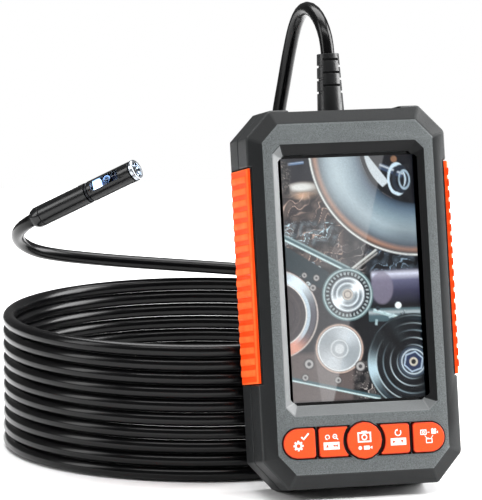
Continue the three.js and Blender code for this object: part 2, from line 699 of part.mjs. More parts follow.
function addCable() {
  place(assembly, "cable_loop", cableTube(LOOP_ROUTE, 30), blackGloss);
  place(assembly, "cable_coil", coilRing(), blackGloss);
  place(assembly, "cable_tail", cableTube(TAIL_ROUTE, 26), blackGloss);
}

// Stand the unit on its heel, with the middle of the heel at the origin.
function standUnit() {
  const heelY = -HEEL_CUT / Math.sin(LEAN) / 2;
  const heelZ = (HEEL_CUT + heelY * Math.sin(LEAN)) / Math.cos(LEAN);
  unit.rotation.x = -LEAN;
  unit.position.set(0, -heelY * Math.cos(LEAN) - heelZ * Math.sin(LEAN), -HEEL_CUT);
}

// Point the probe along its axis, its side window turned up and towards the front.
function aimProbe() {
  const end = new THREE.Vector3(...TAIL_ROUTE[TAIL_ROUTE.length - 1]);
  const along = new THREE.Vector3(0.703, -0.55, 0.45).normalize();
  const facing = new THREE.Vector3(-0.42, -0.71, 0.57);
  facing.addScaledVector(along, -facing.dot(along)).normalize();
  const third = new THREE.Vector3().crossVectors(along, facing);
  probe.quaternion.setFromRotationMatrix(new THREE.Matrix4().makeBasis(facing, third, along));
  probe.position.copy(end).addScaledVector(along, 2 * GAP);
}

addCase();
addScreen();
addKeys();
addElectronics();
addGland();
addProbe();
addCable();
standUnit();
aimProbe();

export default assembly;
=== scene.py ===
"""Looks for a hand-held inspection camera: a leaning screen unit, its coiled cable and its probe."""

import logging
import math
from dataclasses import dataclass, field
from enum import Enum
from typing import Callable, Iterable, Sequence

import bmesh
import bpy
import numpy as np
from mathutils import Matrix, Vector


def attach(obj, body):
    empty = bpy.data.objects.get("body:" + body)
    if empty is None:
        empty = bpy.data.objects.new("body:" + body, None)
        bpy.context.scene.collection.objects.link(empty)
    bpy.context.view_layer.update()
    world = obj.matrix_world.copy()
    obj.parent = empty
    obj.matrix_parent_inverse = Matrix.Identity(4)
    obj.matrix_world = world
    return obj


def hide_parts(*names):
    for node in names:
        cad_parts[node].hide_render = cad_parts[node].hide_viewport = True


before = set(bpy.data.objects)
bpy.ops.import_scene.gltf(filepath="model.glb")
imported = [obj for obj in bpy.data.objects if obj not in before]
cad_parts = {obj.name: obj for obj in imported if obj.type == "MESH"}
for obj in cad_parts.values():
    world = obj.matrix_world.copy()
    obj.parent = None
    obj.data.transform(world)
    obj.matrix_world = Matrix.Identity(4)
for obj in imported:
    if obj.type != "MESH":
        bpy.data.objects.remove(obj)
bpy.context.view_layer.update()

LOG = logging.getLogger("inspection_camera")
MM = 0.001
Point2 = tuple[float, float]
Point3 = tuple[float, float, float]


class Slot(Enum):
    """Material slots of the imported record."""

    CASE = "case_plastic"
    GRIP = "grip_rubber"
    KEY = "key_rubber"
    BLACK_RUBBER = "black_rubber"
    WINDOW = "window_clear"
    DISPLAY = "display_glass"
    DARK_PLASTIC = "dark_plastic"
    BOARD = "circuit_board"
    STEEL = "steel"
    BRASS = "brass"
    BATTERY = "battery_wrap"
    GLOSS = "gloss_black"
    CABLE = "cable_jacket"
    LENS = "lens_glass"
    LAMP = "lamp"


class Side(Enum):
    """The two sides of the screen unit, seen from the front."""

    LEFT = -1
    RIGHT = 1


@dataclass(frozen=True)
class Lean:
    """The unit is laid out upright, back plane at y = 0, and then leans back on its heel."""

    degrees: float = 12.0
    forward: float = 2.246
    drop: float = 1.0

    def matrix(self) -> Matrix:
        """Upright millimetres to the row frame's metres."""
        turn = Matrix.Rotation(-math.radians(self.degrees), 4, "X")
        move = Matrix.Translation((0.0, self.forward, -self.drop))
        return Matrix.Scale(MM, 4) @ move @ turn

    def upright(self) -> Matrix:
        """The row frame's metres to upright millimetres."""
        return self.matrix().inverted()


LEAN = Lean()


# ---------------------------------------------------------------- colours


def linear(value: float) -> float:
    """One screen colour value, 0 to 1, as linear light."""
    return value / 12.92 if value <= 0.04045 else ((value + 0.055) / 1.055) ** 2.4


def shade(red: float, green: float, blue: float) -> tuple[float, float, float, float]:
    """A colour given in 0 to 255 screen values, as linear light with full cover."""
    return (linear(red / 255), linear(green / 255), linear(blue / 255), 1.0)


# ---------------------------------------------------------------- shader groups


Color = tuple[float, float, float, float]
SHADER = "Principled BSDF"


def add_node(tree: bpy.types.NodeTree, kind: str, **settings: object) -> bpy.types.Node:
    """Adds a node and sets its properties, and its inputs where a name matches one.

    Args:
        tree: tree that the node goes in.
        kind: Blender's node type.
        settings: property names, or input names with _ for a space.

    Returns:
        The new node.
    """
    made = tree.nodes.new(kind)
    for key, value in settings.items():
        if hasattr(made, key):
            setattr(made, key, value)
        else:
            made.inputs[key.replace("_", " ")].default_value = value
    return made


def wire(tree: bpy.types.NodeTree, *links: str) -> None:
    """Joins sockets of a tree's nodes.

    Args:
        tree: the tree.
        links: each reads node.output > node.input, a socket by its name or its number.
    """
    for link in links:
        (source, leaving), (target, arriving) = (end.split(".") for end in link.split(" > "))
        output = tree.nodes[source].outputs[int(leaving) if leaving.isdigit() else leaving]
        tree.links.new(output, tree.nodes[target].inputs[int(arriving) if arriving.isdigit() else arriving])


def new_group(name: str, family: str, given: dict[str, tuple[str, object]],
              made: dict[str, str]) -> bpy.types.NodeTree:
    """Starts a node group whose end nodes are named in and out.

    Args:
        name: the group's name.
        family: Shader or Geometry.
        given: inputs, each with its socket kind and its default or None.
        made: outputs, each with its socket kind.

    Returns:
        The group.
    """
    tree = bpy.data.node_groups.new(name, family + "NodeTree")
    for key, (kind, value) in given.items():
        socket = tree.interface.new_socket(key, in_out="INPUT", socket_type="NodeSocket" + kind)
        if value is not None:
            socket.default_value = value
    for key, kind in made.items():
        tree.interface.new_socket(key, in_out="OUTPUT", socket_type="NodeSocket" + kind)
    tree.nodes.new("NodeGroupInput").name = "in"
    tree.nodes.new("NodeGroupOutput").name = "out"
    return tree


def new_material(name: str, settings: dict[str, float]) -> tuple[bpy.types.Material, bpy.types.NodeTree]:
    """Starts a material with constants on its shader's own sockets.

    Args:
        name: the material's name.
        settings: shader inputs and their values.

    Returns:
        The material and its node tree.
    """
    material = bpy.data.materials.new(name)
    material.use_nodes = True
    for key, value in settings.items():
        material.node_tree.nodes[SHADER].inputs[key].default_value = value
    return material, material.node_tree


@dataclass
class SurfaceEffects:
    """The shader groups that several finishes share."""

    grey: Color = (0.1, 0.1, 0.1, 1.0)
    pale: Color = (0.3, 0.3, 0.3, 1.0)

    def __post_init__(self) -> None:
        """Builds each group once."""
        self.grain = self._grain()
        self.wear = self._wear()
        self.handling = self._handling()

    def _grain(self) -> bpy.types.NodeTree:
        """Fine moulded grain: pits and specks a fraction of a millimetre across."""
        tree = new_group("fine_grain", "Shader",
                         {"Scale": ("Float", 2600.0), "Dark": ("Color", self.grey),
                          "Light": ("Color", self.pale)},
                         {"Color": "Color", "Height": "Float"})
        add_node(tree, "ShaderNodeTexCoord", name="place")
        add_node(tree, "ShaderNodeTexVoronoi", name="cells", feature="SMOOTH_F1", Smoothness=0.6)
        add_node(tree, "ShaderNodeTexNoise", name="specks", Detail=3.0, Roughness=0.65)
        blend = add_node(tree, "ShaderNodeMath", name="blend", operation="MULTIPLY_ADD")
        blend.inputs[1].default_value = 0.55
        add_node(tree, "ShaderNodeMapRange", name="spread", From_Min=0.38, From_Max=0.92)
        add_node(tree, "ShaderNodeMix", name="mix", data_type="RGBA")
        wire(tree, "place.Object > cells.Vector", "place.Object > specks.Vector", "in.Scale > cells.Scale",
             "in.Scale > specks.Scale", "cells.Distance > blend.0", "specks.Fac > blend.2",
             "blend.0 > spread.Value", "spread.Result > mix.Factor", "in.Dark > mix.6", "in.Light > mix.7",
             "mix.2 > out.Color", "spread.Result > out.Height")
        return tree

    def _wear(self) -> bpy.types.NodeTree:
        """Edges rubbed to another tone, where the mesh marks its rounded edges; the same tone is a painted
        highlight on lit edges and rib tops, and painted shade on the key edges.
        """
        tree = new_group("edge_wear", "Shader",
                         {"Color": ("Color", self.grey), "Edge Color": ("Color", self.pale),
                          "Amount": ("Float", 0.5)}, {"Color": "Color"})
        add_node(tree, "ShaderNodeAttribute", name="mark", attribute_name="edge")
        add_node(tree, "ShaderNodeTexCoord", name="place")
        add_node(tree, "ShaderNodeTexNoise", name="patches", Scale=160.0, Detail=4.0, Roughness=0.6)
        add_node(tree, "ShaderNodeMapRange", name="uneven", From_Min=0.3, From_Max=0.6, To_Min=0.55)
        add_node(tree, "ShaderNodeMath", name="first", operation="MULTIPLY")
        add_node(tree, "ShaderNodeMath", name="second", operation="MULTIPLY", use_clamp=True)
        add_node(tree, "ShaderNodeMix", name="mix", data_type="RGBA")
        wire(tree, "place.Object > patches.Vector", "patches.Fac > uneven.Value", "mark.Fac > first.0",
             "uneven.Result > first.1", "first.0 > second.0", "in.Amount > second.1",
             "second.0 > mix.Factor", "in.Color > mix.6", "in.Edge Color > mix.7", "mix.2 > out.Color")
        return tree

    def _handling(self) -> bpy.types.NodeTree:
        """Soft patches left by hands: roughness and tone drift slowly over a surface."""
        tree = new_group("handling_marks", "Shader",
                         {"Color": ("Color", self.grey), "Scale": ("Float", 60.0), "Low": ("Float", 0.4),
                          "High": ("Float", 0.5), "Tone": ("Float", 0.15)},
                         {"Color": "Color", "Roughness": "Float"})
        add_node(tree, "ShaderNodeTexCoord", name="place")
        add_node(tree, "ShaderNodeTexNoise", name="clouds", Detail=5.0, Roughness=0.55, Distortion=0.4)
        add_node(tree, "ShaderNodeMapRange", name="rough", From_Min=0.3, From_Max=0.7)
        add_node(tree, "ShaderNodeMapRange", name="tone", From_Min=0.3, From_Max=0.7, To_Min=1.0)
        less = add_node(tree, "ShaderNodeMath", name="less", operation="SUBTRACT")
        less.inputs[0].default_value = 1.0
        add_node(tree, "ShaderNodeVectorMath", name="tint", operation="SCALE")
        wire(tree, "place.Object > clouds.Vector", "in.Scale > clouds.Scale", "clouds.Fac > rough.Value",
             "in.Low > rough.To Min", "in.High > rough.To Max", "clouds.Fac > tone.Value", "in.Tone > less.1",
             "less.0 > tone.To Max", "in.Color > tint.0", "tone.Result > tint.Scale", "tint.0 > out.Color",
             "rough.Result > out.Roughness")
        return tree


EFFECTS = SurfaceEffects()


@dataclass(frozen=True)
class Plastic:
    """A moulded or painted finish with grain, handling marks and rubbed edges; the edge tone also paints a
    highlight along rounded edges, and on the keys a shade.
    """

    name: str
    dark: Color
    light: Color
    edge: Color
    edge_amount: float = 0.5
    grain_scale: float = 2600.0
    grain_depth: float = 0.00003
    rough: Point2 = (0.4, 0.5)
    tone: float = 0.12
    specular: float = 0.5
    coat: float = 0.0
    metallic: float = 0.0

    def build(self) -> bpy.types.Material:
        """Builds the material.

        Returns:
            The material, ready for any piece.
        """
        material, tree = new_material(self.name, {
            "Specular IOR Level": self.specular, "Coat Weight": self.coat, "Metallic": self.metallic})
        add_node(tree, "ShaderNodeGroup", name="grain", node_tree=EFFECTS.grain, Scale=self.grain_scale,
                 Dark=self.dark, Light=self.light)
        add_node(tree, "ShaderNodeGroup", name="marks", node_tree=EFFECTS.handling, Low=self.rough[0],
                 High=self.rough[1], Tone=self.tone)
        add_node(tree, "ShaderNodeGroup", name="wear", node_tree=EFFECTS.wear, Edge_Color=self.edge,
                 Amount=self.edge_amount)
        add_node(tree, "ShaderNodeBump", name="bump", Strength=1.0, Distance=self.grain_depth)
        wire(tree, "grain.Color > marks.Color", "marks.Color > wear.Color",
             f"wear.Color > {SHADER}.Base Color", f"marks.Roughness > {SHADER}.Roughness",
             "grain.Height > bump.Height", f"bump.Normal > {SHADER}.Normal")
        return material


@dataclass(frozen=True)
class ClearFinish:
    """A clear or tinted window with faint wiping marks."""

    name: str
    tint: Color
    rough: float
    ior: float
    wipe_scale: float = 45.0
    wipe_rough: float = 0.03
    wipe_tone: float = 0.02

    def build(self) -> bpy.types.Material:
        """Builds the material.

        Returns:
            The glass material.
        """
        material, tree = new_material(self.name, {"Transmission Weight": 1.0, "IOR": self.ior})
        add_node(tree, "ShaderNodeGroup", name="marks", node_tree=EFFECTS.handling, Color=self.tint,
                 Scale=self.wipe_scale, Low=self.rough, High=self.rough + self.wipe_rough,
                 Tone=self.wipe_tone)
        wire(tree, f"marks.Color > {SHADER}.Base Color", f"marks.Roughness > {SHADER}.Roughness")
        return material


@dataclass(frozen=True)
class GlowFinish:
    """A finish that gives its own light, from a painted attribute or a speckled tint."""

    name: str
    strength: float
    attribute: str = ""
    tint: Color = (1.0, 1.0, 1.0, 1.0)
    rough: float = 0.35
    speckle_scale: float = 900.0
    speckle_tone: float = 0.2

    def build(self) -> bpy.types.Material:
        """Builds the material.

        Returns:
            The glowing material.
        """
        settings = {"Roughness": self.rough, "Emission Strength": self.strength}
        material, tree = new_material(self.name, settings)
        if self.attribute:
            tree.nodes[SHADER].inputs["Base Color"].default_value = (0.01, 0.01, 0.012, 1)
            add_node(tree, "ShaderNodeAttribute", name="painted", attribute_name=self.attribute)
            wire(tree, f"painted.Color > {SHADER}.Emission Color")
            return material
        add_node(tree, "ShaderNodeGroup", name="marks", node_tree=EFFECTS.handling, Color=self.tint,
                 Scale=self.speckle_scale, Tone=self.speckle_tone)
        wire(tree, f"marks.Color > {SHADER}.Base Color", f"marks.Color > {SHADER}.Emission Color")
        return material


# The front face's plastic: the case plastic with deeper grain, painted lighter as if lit.
FACE_PAINTED_LIT = Plastic("grained_case_plastic", shade(46, 49, 50), shade(106, 111, 112), shade(140, 144, 144),
                    edge_amount=0.1, grain_scale=3000.0, grain_depth=0.00006, rough=(0.5, 0.6), tone=0.08,
                    specular=0.3)
DARK_CASE = Plastic("smooth_case_plastic", shade(21, 22, 23), shade(29, 31, 32), shade(90, 93, 93),
                    edge_amount=0.08, grain_scale=3200.0, grain_depth=0.00002, rough=(0.42, 0.52), tone=0.1,
                    specular=0.25)
# Lit and shaded copies of one well plastic: painted light on the walls that face right or up, painted shade
# on the others.
WELL_PAINTED_LIT = Plastic("well_plastic_painted_lit", shade(84, 87, 88), shade(98, 101, 102), shade(150, 153, 153),
                     edge_amount=0.2, grain_scale=3200.0, grain_depth=0.00001, rough=(0.34, 0.42), tone=0.05)
WELL_PAINTED_SHADE = Plastic("well_plastic_painted_shade", shade(16, 17, 18), shade(22, 23, 24), shade(44, 46, 47),
                    edge_amount=0.1, grain_scale=3200.0, grain_depth=0.00001, rough=(0.5, 0.6), tone=0.05,
                    specular=0.15)
# Black for the thin webs between the keys: painted shade standing in for the gaps.
KEY_WEB_SHADE = Plastic("key_web_painted_shade", shade(12, 12, 13), shade(17, 17, 18), shade(22, 22, 23),
                  edge_amount=0.0, grain_depth=0.00001, rough=(0.5, 0.6), specular=0.2)
# Its lighter edge tone is a painted highlight on the rib tops and the pad's rounded edges.
GRIP_ORANGE = Plastic("ribbed_grip_rubber", shade(238, 60, 8), shade(248, 76, 14), shade(255, 118, 54),
                      edge_amount=0.7, grain_scale=2400.0, grain_depth=0.00002, rough=(0.55, 0.66), tone=0.06,
                      specular=0.14)
# A darker red copy of the grip rubber: painted shade on the grip's downward faces and on the left grip's
# front face.
GRIP_SHADE = Plastic("grip_rubber_painted_shade", shade(96, 12, 8), shade(124, 20, 12), shade(150, 34, 18),
                    edge_amount=0.2, grain_depth=0.00001, rough=(0.5, 0.6), specular=0.3)
# Its darker edge tone is painted shade along the rounded key edges.
KEY_ORANGE = Plastic("key_cap_rubber", shade(224, 65, 13), shade(236, 81, 21), shade(180, 34, 10),
                     edge_amount=0.85, grain_scale=2800.0, grain_depth=0.000012, rough=(0.5, 0.6), tone=0.05,
                     specular=0.35)
# A darker red copy of the key rubber: painted shade on the key sides.
KEY_SIDE_SHADE = Plastic("key_side_rubber_painted_shade", shade(96, 10, 6), shade(120, 16, 8), shade(120, 16, 8),
                   edge_amount=0.0, grain_depth=0.00001, rough=(0.5, 0.6), specular=0.3)
PRINT_WHITE = Plastic("symbol_print", shade(240, 238, 235), shade(251, 250, 248), shade(250, 250, 250),
                      edge_amount=0.0, grain_depth=0.000004, rough=(0.5, 0.6), tone=0.03)
BLACK_RUBBER = Plastic("boot_rubber", shade(14, 15, 16), shade(22, 23, 24), shade(60, 62, 63),
                       edge_amount=0.2, grain_scale=2400.0, grain_depth=0.00002, rough=(0.3, 0.4), tone=0.1,
                       specular=0.45)
DARK_PLASTIC = Plastic("inner_plastic", shade(26, 27, 28), shade(36, 38, 39), shade(70, 72, 73),
                       edge_amount=0.4, grain_depth=0.00002, rough=(0.45, 0.6))
DARK_STEEL = Plastic("blackened_steel", shade(34, 35, 37), shade(48, 49, 52), shade(90, 92, 96),
                     edge_amount=0.3, grain_scale=3600.0, grain_depth=0.000004, rough=(0.24, 0.34),
                     metallic=1.0)
PANEL_BLACK = Plastic("display_border", shade(8, 9, 10), shade(13, 14, 16), shade(20, 20, 22),
                      edge_amount=0.2, grain_depth=0.000002, rough=(0.12, 0.2), tone=0.05, coat=0.4)
BOARD_GREEN = Plastic("board_mask", shade(16, 66, 40), shade(26, 92, 56), shade(150, 140, 80),
                      edge_amount=0.4, grain_scale=900.0, grain_depth=0.00001, rough=(0.3, 0.45), tone=0.2)
BOARD_BLUE = Plastic("sensor_board_mask", shade(10, 18, 44), shade(18, 30, 70), shade(60, 70, 110),
                     edge_amount=0.2, grain_scale=900.0, grain_depth=0.000006, rough=(0.25, 0.35), tone=0.2)
STEEL = Plastic("machined_steel", shade(150, 152, 155), shade(198, 200, 203), shade(230, 231, 232),
                edge_amount=0.6, grain_scale=3600.0, grain_depth=0.000006, rough=(0.24, 0.34), metallic=1.0)
BRASS = Plastic("turned_brass", shade(170, 130, 66), shade(205, 166, 96), shade(226, 196, 130),
                edge_amount=0.5, grain_scale=3000.0, grain_depth=0.000006, rough=(0.26, 0.38), metallic=1.0)
BATTERY_BLUE = Plastic("battery_sleeve", shade(28, 62, 104), shade(40, 80, 124), shade(90, 124, 160),
                       edge_amount=0.4, grain_depth=0.000006, rough=(0.22, 0.32), coat=0.3)
PROBE_BLACK = Plastic("polished_probe_shell", shade(9, 10, 11), shade(15, 16, 17), shade(70, 73, 76),
                      edge_amount=0.3, grain_scale=3000.0, grain_depth=0.000002, rough=(0.2, 0.28), tone=0.06,
                      specular=0.4)
CABLE_BLACK = Plastic("cable_jacket", shade(4, 4, 5), shade(7, 7, 8), shade(20, 20, 20),
                      edge_amount=0.0, grain_scale=900.0, grain_depth=0.000004, rough=(0.19, 0.26), tone=0.1,
                      specular=0.22)
LENS_RING = Plastic("anodised_lens_ring", shade(168, 176, 186), shade(206, 212, 220), shade(230, 232, 236),
                    edge_amount=0.3, grain_depth=0.000002, rough=(0.2, 0.3), metallic=1.0)
LENS_DARK = Plastic("coated_lens_face", shade(6, 8, 16), shade(14, 18, 34), shade(30, 36, 60),
                    edge_amount=0.0, grain_depth=0.000001, rough=(0.04, 0.08), coat=1.0)
RECESS_BLUE = ClearFinish("tinted_side_window", shade(176, 198, 226), 0.01, 1.2)
WINDOW = ClearFinish("clear_window", shade(248, 250, 251), 0.0, 1.46)
PICTURE = GlowFinish("display_picture", 1.25, attribute="picture")
LAMP = GlowFinish("lamp_phosphor", 5.0, tint=shade(196, 222, 255))
FLOOR = Plastic("studio_floor", shade(244, 244, 244), shade(250, 250, 250), shade(250, 250, 250),
                edge_amount=0.0, grain_scale=40.0, grain_depth=0.000001, rough=(0.6, 0.7), tone=0.01,
                specular=0.2)

_MATERIALS: dict[str, bpy.types.Material] = {}


def dressed(finish: Plastic | ClearFinish | GlowFinish) -> bpy.types.Material:
    """The material of a finish, built the first time it is asked for."""
    if finish.name not in _MATERIALS:
        _MATERIALS[finish.name] = finish.build()
    return _MATERIALS[finish.name]


# ---------------------------------------------------------------- mesh craft


@dataclass(frozen=True)
class Rounding:
    """Which edges are rounded, how wide and in how many steps."""

    chosen: Callable[[Vector, Vector], bool]
    width: float
    steps: int = 3
    sharper_than: float = 14.0


def finish_piece(name: str, mesh: bpy.types.Mesh, body: str,
                 stands_for: Sequence[str] = ()) -> bpy.types.Object:
    """Links a mesh as a finished piece that rides on a body.

    Args:
        name: the piece's name.
        mesh: its mesh, in the row frame.
        body: CAD body that it moves with.
        stands_for: CAD nodes that it replaces.

    Returns:
        The new object.
    """
    mesh.name = name
    piece = bpy.data.objects.new(name, mesh)
    bpy.context.scene.collection.objects.link(piece)
    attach(piece, body)
    if stands_for:
        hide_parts(*stands_for)
    LOG.info("piece %s: %d faces on %s", name, len(mesh.polygons), body)
    return piece


def merged_copy(node: str, upright: bool = True) -> bmesh.types.BMesh:
    """A welded copy of a CAD node's mesh, its flat faces whole.

    Args:
        node: the CAD node.
        upright: in the unit's upright millimetres, or in row-frame millimetres.

    Returns:
        The copy, to change freely.
    """
    built = bmesh.new()
    built.from_mesh(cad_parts[node].data)
    built.transform(LEAN.upright() if upright else Matrix.Scale(1 / MM, 4))
    bmesh.ops.remove_doubles(built, verts=built.verts, dist=0.004)
    bmesh.ops.dissolve_limit(built, angle_limit=math.radians(0.6), verts=built.verts, edges=built.edges)
    return built


def round_edges(built: bmesh.types.BMesh, roundings: Iterable[Rounding]) -> None:
    """Rounds chosen edges and marks the middle of each rounding in the attribute edge.

    Args:
        built: mesh that is changed.
        roundings: rules, used in turn.
    """
    mark = built.verts.layers.float.get("edge") or built.verts.layers.float.new("edge")
    for rule in roundings:
        chosen = []
        for edge in built.edges:
            if len(edge.link_faces) != 2:
                continue
            if math.degrees(edge.calc_face_angle(0.0)) < rule.sharper_than:
                continue
            if rule.chosen(edge.verts[0].co, edge.verts[1].co):
                chosen.append(edge)
        if not chosen:
            continue
        made = bmesh.ops.bevel(built, geom=chosen, offset=rule.width, offset_type="OFFSET",
                               segments=rule.steps, profile=0.5, affect="EDGES", clamp_overlap=False)
        fresh = set(made["faces"])
        for vert in made["verts"]:
            if vert.is_valid and all(face in fresh for face in vert.link_faces):
                vert[mark] = 1.0


def to_mesh(built: bmesh.types.BMesh, materials: Sequence[bpy.types.Material], matrix: Matrix,
            smooth_below: float = 32.0) -> bpy.types.Mesh:
    """Turns a bmesh into a mesh in the row frame, its curved parts smooth.

    Args:
        built: source, freed here.
        materials: its material slots.
        matrix: from its own space to the row frame.
        smooth_below: edges that turn less than this many degrees are shaded smooth.

    Returns:
        The mesh.
    """
    built.transform(matrix)
    for face in built.faces:
        face.smooth = True
    for edge in built.edges:
        edge.smooth = edge.calc_face_angle(0.0) < math.radians(smooth_below)
    mesh = bpy.data.meshes.new("made")
    built.to_mesh(mesh)
    built.free()
    for material in materials:
        mesh.materials.append(material)
    return mesh


def bridge(built: bmesh.types.BMesh, rings: Sequence[Sequence[bmesh.types.BMVert]]) -> None:
    """Joins each ring of corners to the next, where a ring of one corner is a point.

    Args:
        built: mesh that gets the faces.
        rings: rings with the same count of corners, or of one.
    """
    count = max(len(ring) for ring in rings)
    for first, second in zip(rings, rings[1:]):
        for index in range(count):
            after = (index + 1) % count
            corners = [first[index % len(first)], first[after % len(first)],
                       second[after % len(second)], second[index % len(second)]]
            built.faces.new(list(dict.fromkeys(corners)))


def even_shading(piece: bpy.types.Object) -> bpy.types.Object:
    """Keeps big flat faces flat beside their rounded edges."""
    weighted = piece.modifiers.new("even_shading", "WEIGHTED_NORMAL")
    weighted.keep_sharp = True
    weighted.weight = 80
    return piece


def baked(piece: bpy.types.Object, tree: bpy.types.NodeTree, values: dict[str, object]) -> bpy.types.Mesh:
    """Runs a geometry tree over a piece and gives the plain mesh.

    Args:
        piece: scratch object, removed here.
        tree: the geometry tree.
        values: the tree's named inputs.

    Returns:
        The finished mesh.
    """
    bpy.context.scene.collection.objects.link(piece)
    made = piece.modifiers.new("layout", "NODES")
    made.node_group = tree
    sockets = {item.name: item.identifier for item in tree.interface.items_tree if item.in_out == "INPUT"}
    for name, value in values.items():
        made[sockets[name]] = value
    graph = bpy.context.evaluated_depsgraph_get()
    mesh = bpy.data.meshes.new_from_object(piece.evaluated_get(graph))
    piece.modifiers.remove(made)
    bpy.data.objects.remove(piece)
    return mesh


@dataclass
class LayoutTrees:
    """Geometry trees for what repeats on the unit: even rows, or a ring."""

    def rows(self, *words: str) -> bpy.types.NodeTree:
        """Even rows of copies, all of the same Count.

        Args:
            words: one for each row, which names its inputs Start and Step.

        Returns:
            The tree.
        """
        places = {f"{word} {what}": "Vector" for word in words for what in ("Start", "Step")}
        tree = self._start("even_rows", {"Count": "Int", **places})
        for word in words:
            add_node(tree, "GeometryNodeMeshLine", name=word + " line", mode="OFFSET")
            add_node(tree, "GeometryNodeInstanceOnPoints", name=word)
            wire(tree, f"in.Count > {word} line.Count", f"in.{word} Start > {word} line.Start Location",
                 f"in.{word} Step > {word} line.Offset", f"{word} line.Mesh > {word}.Points")
        return self._end(tree, words)

    def ring(self) -> bpy.types.NodeTree:
        """A ring of copies round z: inputs Count and Radius.

        Returns:
            The tree.
        """
        tree = self._start("even_ring", {"Count": "Int", "Radius": "Float"})
        add_node(tree, "GeometryNodeMeshCircle", name="circle")
        add_node(tree, "GeometryNodeInstanceOnPoints", name="copies")
        wire(tree, "in.Count > circle.Vertices", "in.Radius > circle.Radius", "circle.Mesh > copies.Points")
        return self._end(tree, ["copies"])

    def _start(self, name: str, inputs: dict[str, str]) -> bpy.types.NodeTree:
        """An empty tree with its interface."""
        given = {"Geometry": "Geometry", **inputs, "Finish": "Material"}
        return new_group(name, "Geometry", {key: (kind, None) for key, kind in given.items()},
                         {"Geometry": "Geometry"})

    def _end(self, tree: bpy.types.NodeTree, copies: Iterable[str]) -> bpy.types.NodeTree:
        """Gives the copying nodes their mesh, joins the copies and makes them real and finished."""
        add_node(tree, "GeometryNodeJoinGeometry", name="joined")
        add_node(tree, "GeometryNodeRealizeInstances", name="real")
        add_node(tree, "GeometryNodeSetMaterial", name="finish")
        for name in copies:
            wire(tree, f"in.Geometry > {name}.Instance", f"{name}.Instances > joined.Geometry")
        wire(tree, "joined.Geometry > real.Geometry", "real.Geometry > finish.Geometry",
             "in.Finish > finish.Material", "finish.Geometry > out.Geometry")
        return tree


def repaint(node: str, finish: Plastic | ClearFinish | GlowFinish) -> None:
    """Gives a CAD node that stays its finished material."""
    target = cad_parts[node]
    if not target.material_slots:
        target.data.materials.append(dressed(finish))
    for held in target.material_slots:
        held.material = dressed(finish)
    LOG.info("node %s: %s", node, finish.name)


# ---------------------------------------------------------------- camera, stage, lights


@dataclass
class Studio:
    """Camera, pale floor and soft light."""

    azimuth: float = -15.0
    elevation: float = 9.3
    lens: float = 360.0
    distance: float = 1.9455
    target: Point3 = (-0.0427, 0.0030, 0.0953)
    floor_half: float = 0.8
    floor_drop: float = 0.0002
    middle: Point3 = (-0.03, 0.06, 0.09)
    sky: float = 0.15

    def direction(self, azimuth: float, elevation: float) -> Vector:
        """Unit vector from the object towards a viewer or lamp at those angles."""
        turn, rise = math.radians(azimuth), math.radians(elevation)
        return Vector((math.sin(turn) * math.cos(rise), -math.cos(turn) * math.cos(rise), math.sin(rise)))

    def aimed(self, data: bpy.types.ID, target: Point3, angles: Point2, distance: float) -> bpy.types.Object:
        """Adds a camera or a lamp that looks at a point.

        Args:
            data: the camera or lamp.
            target: the point.
            angles: bearing, 0 in front and 90 to the right, and height above the horizon, in degrees.
            distance: from the point, in metres.

        Returns:
            The new object, of the data's name.
        """
        made = bpy.data.objects.new(data.name, data)
        back = self.direction(*angles)
        made.location = Vector(target) + back * distance
        made.rotation_mode = "QUATERNION"
        made.rotation_quaternion = (-back).to_track_quat("-Z", "Y")
        bpy.context.scene.collection.objects.link(made)
        return made

    def set_camera(self) -> None:
        """Makes the camera at the set angle and distance."""
        data = bpy.data.cameras.new("view")
        data.lens = self.lens
        data.sensor_width = 36.0
        data.clip_start = 0.01
        data.clip_end = 50.0
        angles = (self.azimuth, self.elevation)
        bpy.context.scene.camera = self.aimed(data, self.target, angles, self.distance)

    def set_floor(self) -> None:
        """Makes the pale floor under the object."""
        built = bmesh.new()
        bmesh.ops.create_grid(built, x_segments=8, y_segments=8, size=self.floor_half)
        mesh = to_mesh(built, [dressed(FLOOR)], Matrix.Translation((0, 0, -self.floor_drop)))
        floor = bpy.data.objects.new("studio_floor", mesh)
        bpy.context.scene.collection.objects.link(floor)

    def lamp(self, name: str, angles: Point2, distance: float, size: Point2, watts: float) -> None:
        """Adds one rectangular softbox that faces the object.

        Args:
            name: lamp name.
            angles: its bearing and its height, as for aimed.
            distance: from the object's middle, in metres.
            size: width and height in metres.
            watts: its power.
        """
        data = bpy.data.lights.new(name, "AREA")
        data.shape = "RECTANGLE"
        data.size, data.size_y = size
        data.energy = watts
        self.aimed(data, self.middle, angles, distance)

    def set_lights(self) -> None:
        """Adds the softboxes and the even sky."""
        self.lamp("right_softbox", (84, 22), 1.2, (0.7, 1.1), 34.0)
        self.lamp("left_softbox", (-92, 24), 1.3, (0.4, 0.9), 6.5)
        self.lamp("overhead_softbox", (165, 72), 1.3, (1.5, 0.9), 36.0)
        self.lamp("front_strip", (-12, 62), 1.3, (1.7, 0.2), 10.0)
        world = bpy.data.worlds.new("even_sky")
        world.use_nodes = True
        tree = world.node_tree
        tree.nodes["Background"].inputs["Color"].default_value = (1, 1, 1, 1)
        add_node(tree, "ShaderNodeLightPath", name="seen")
        add_node(tree, "ShaderNodeMapRange", name="spread", To_Min=self.sky, To_Max=1.0)
        wire(tree, "seen.Is Camera Ray > spread.Value", "spread.Result > Background.Strength")
        bpy.context.scene.world = world
        bpy.context.scene.view_settings.view_transform = "Standard"

    def build(self) -> None:
        """Sets the whole studio."""
        self.set_camera()
        self.set_floor()
        self.set_lights()
        LOG.info("studio ready")


# ---------------------------------------------------------------- cable


TAIL_END: Point3 = (-94.8, 140.0, 88.5)
PROBE_AIM: Point3 = (0.703, -0.55, 0.45)


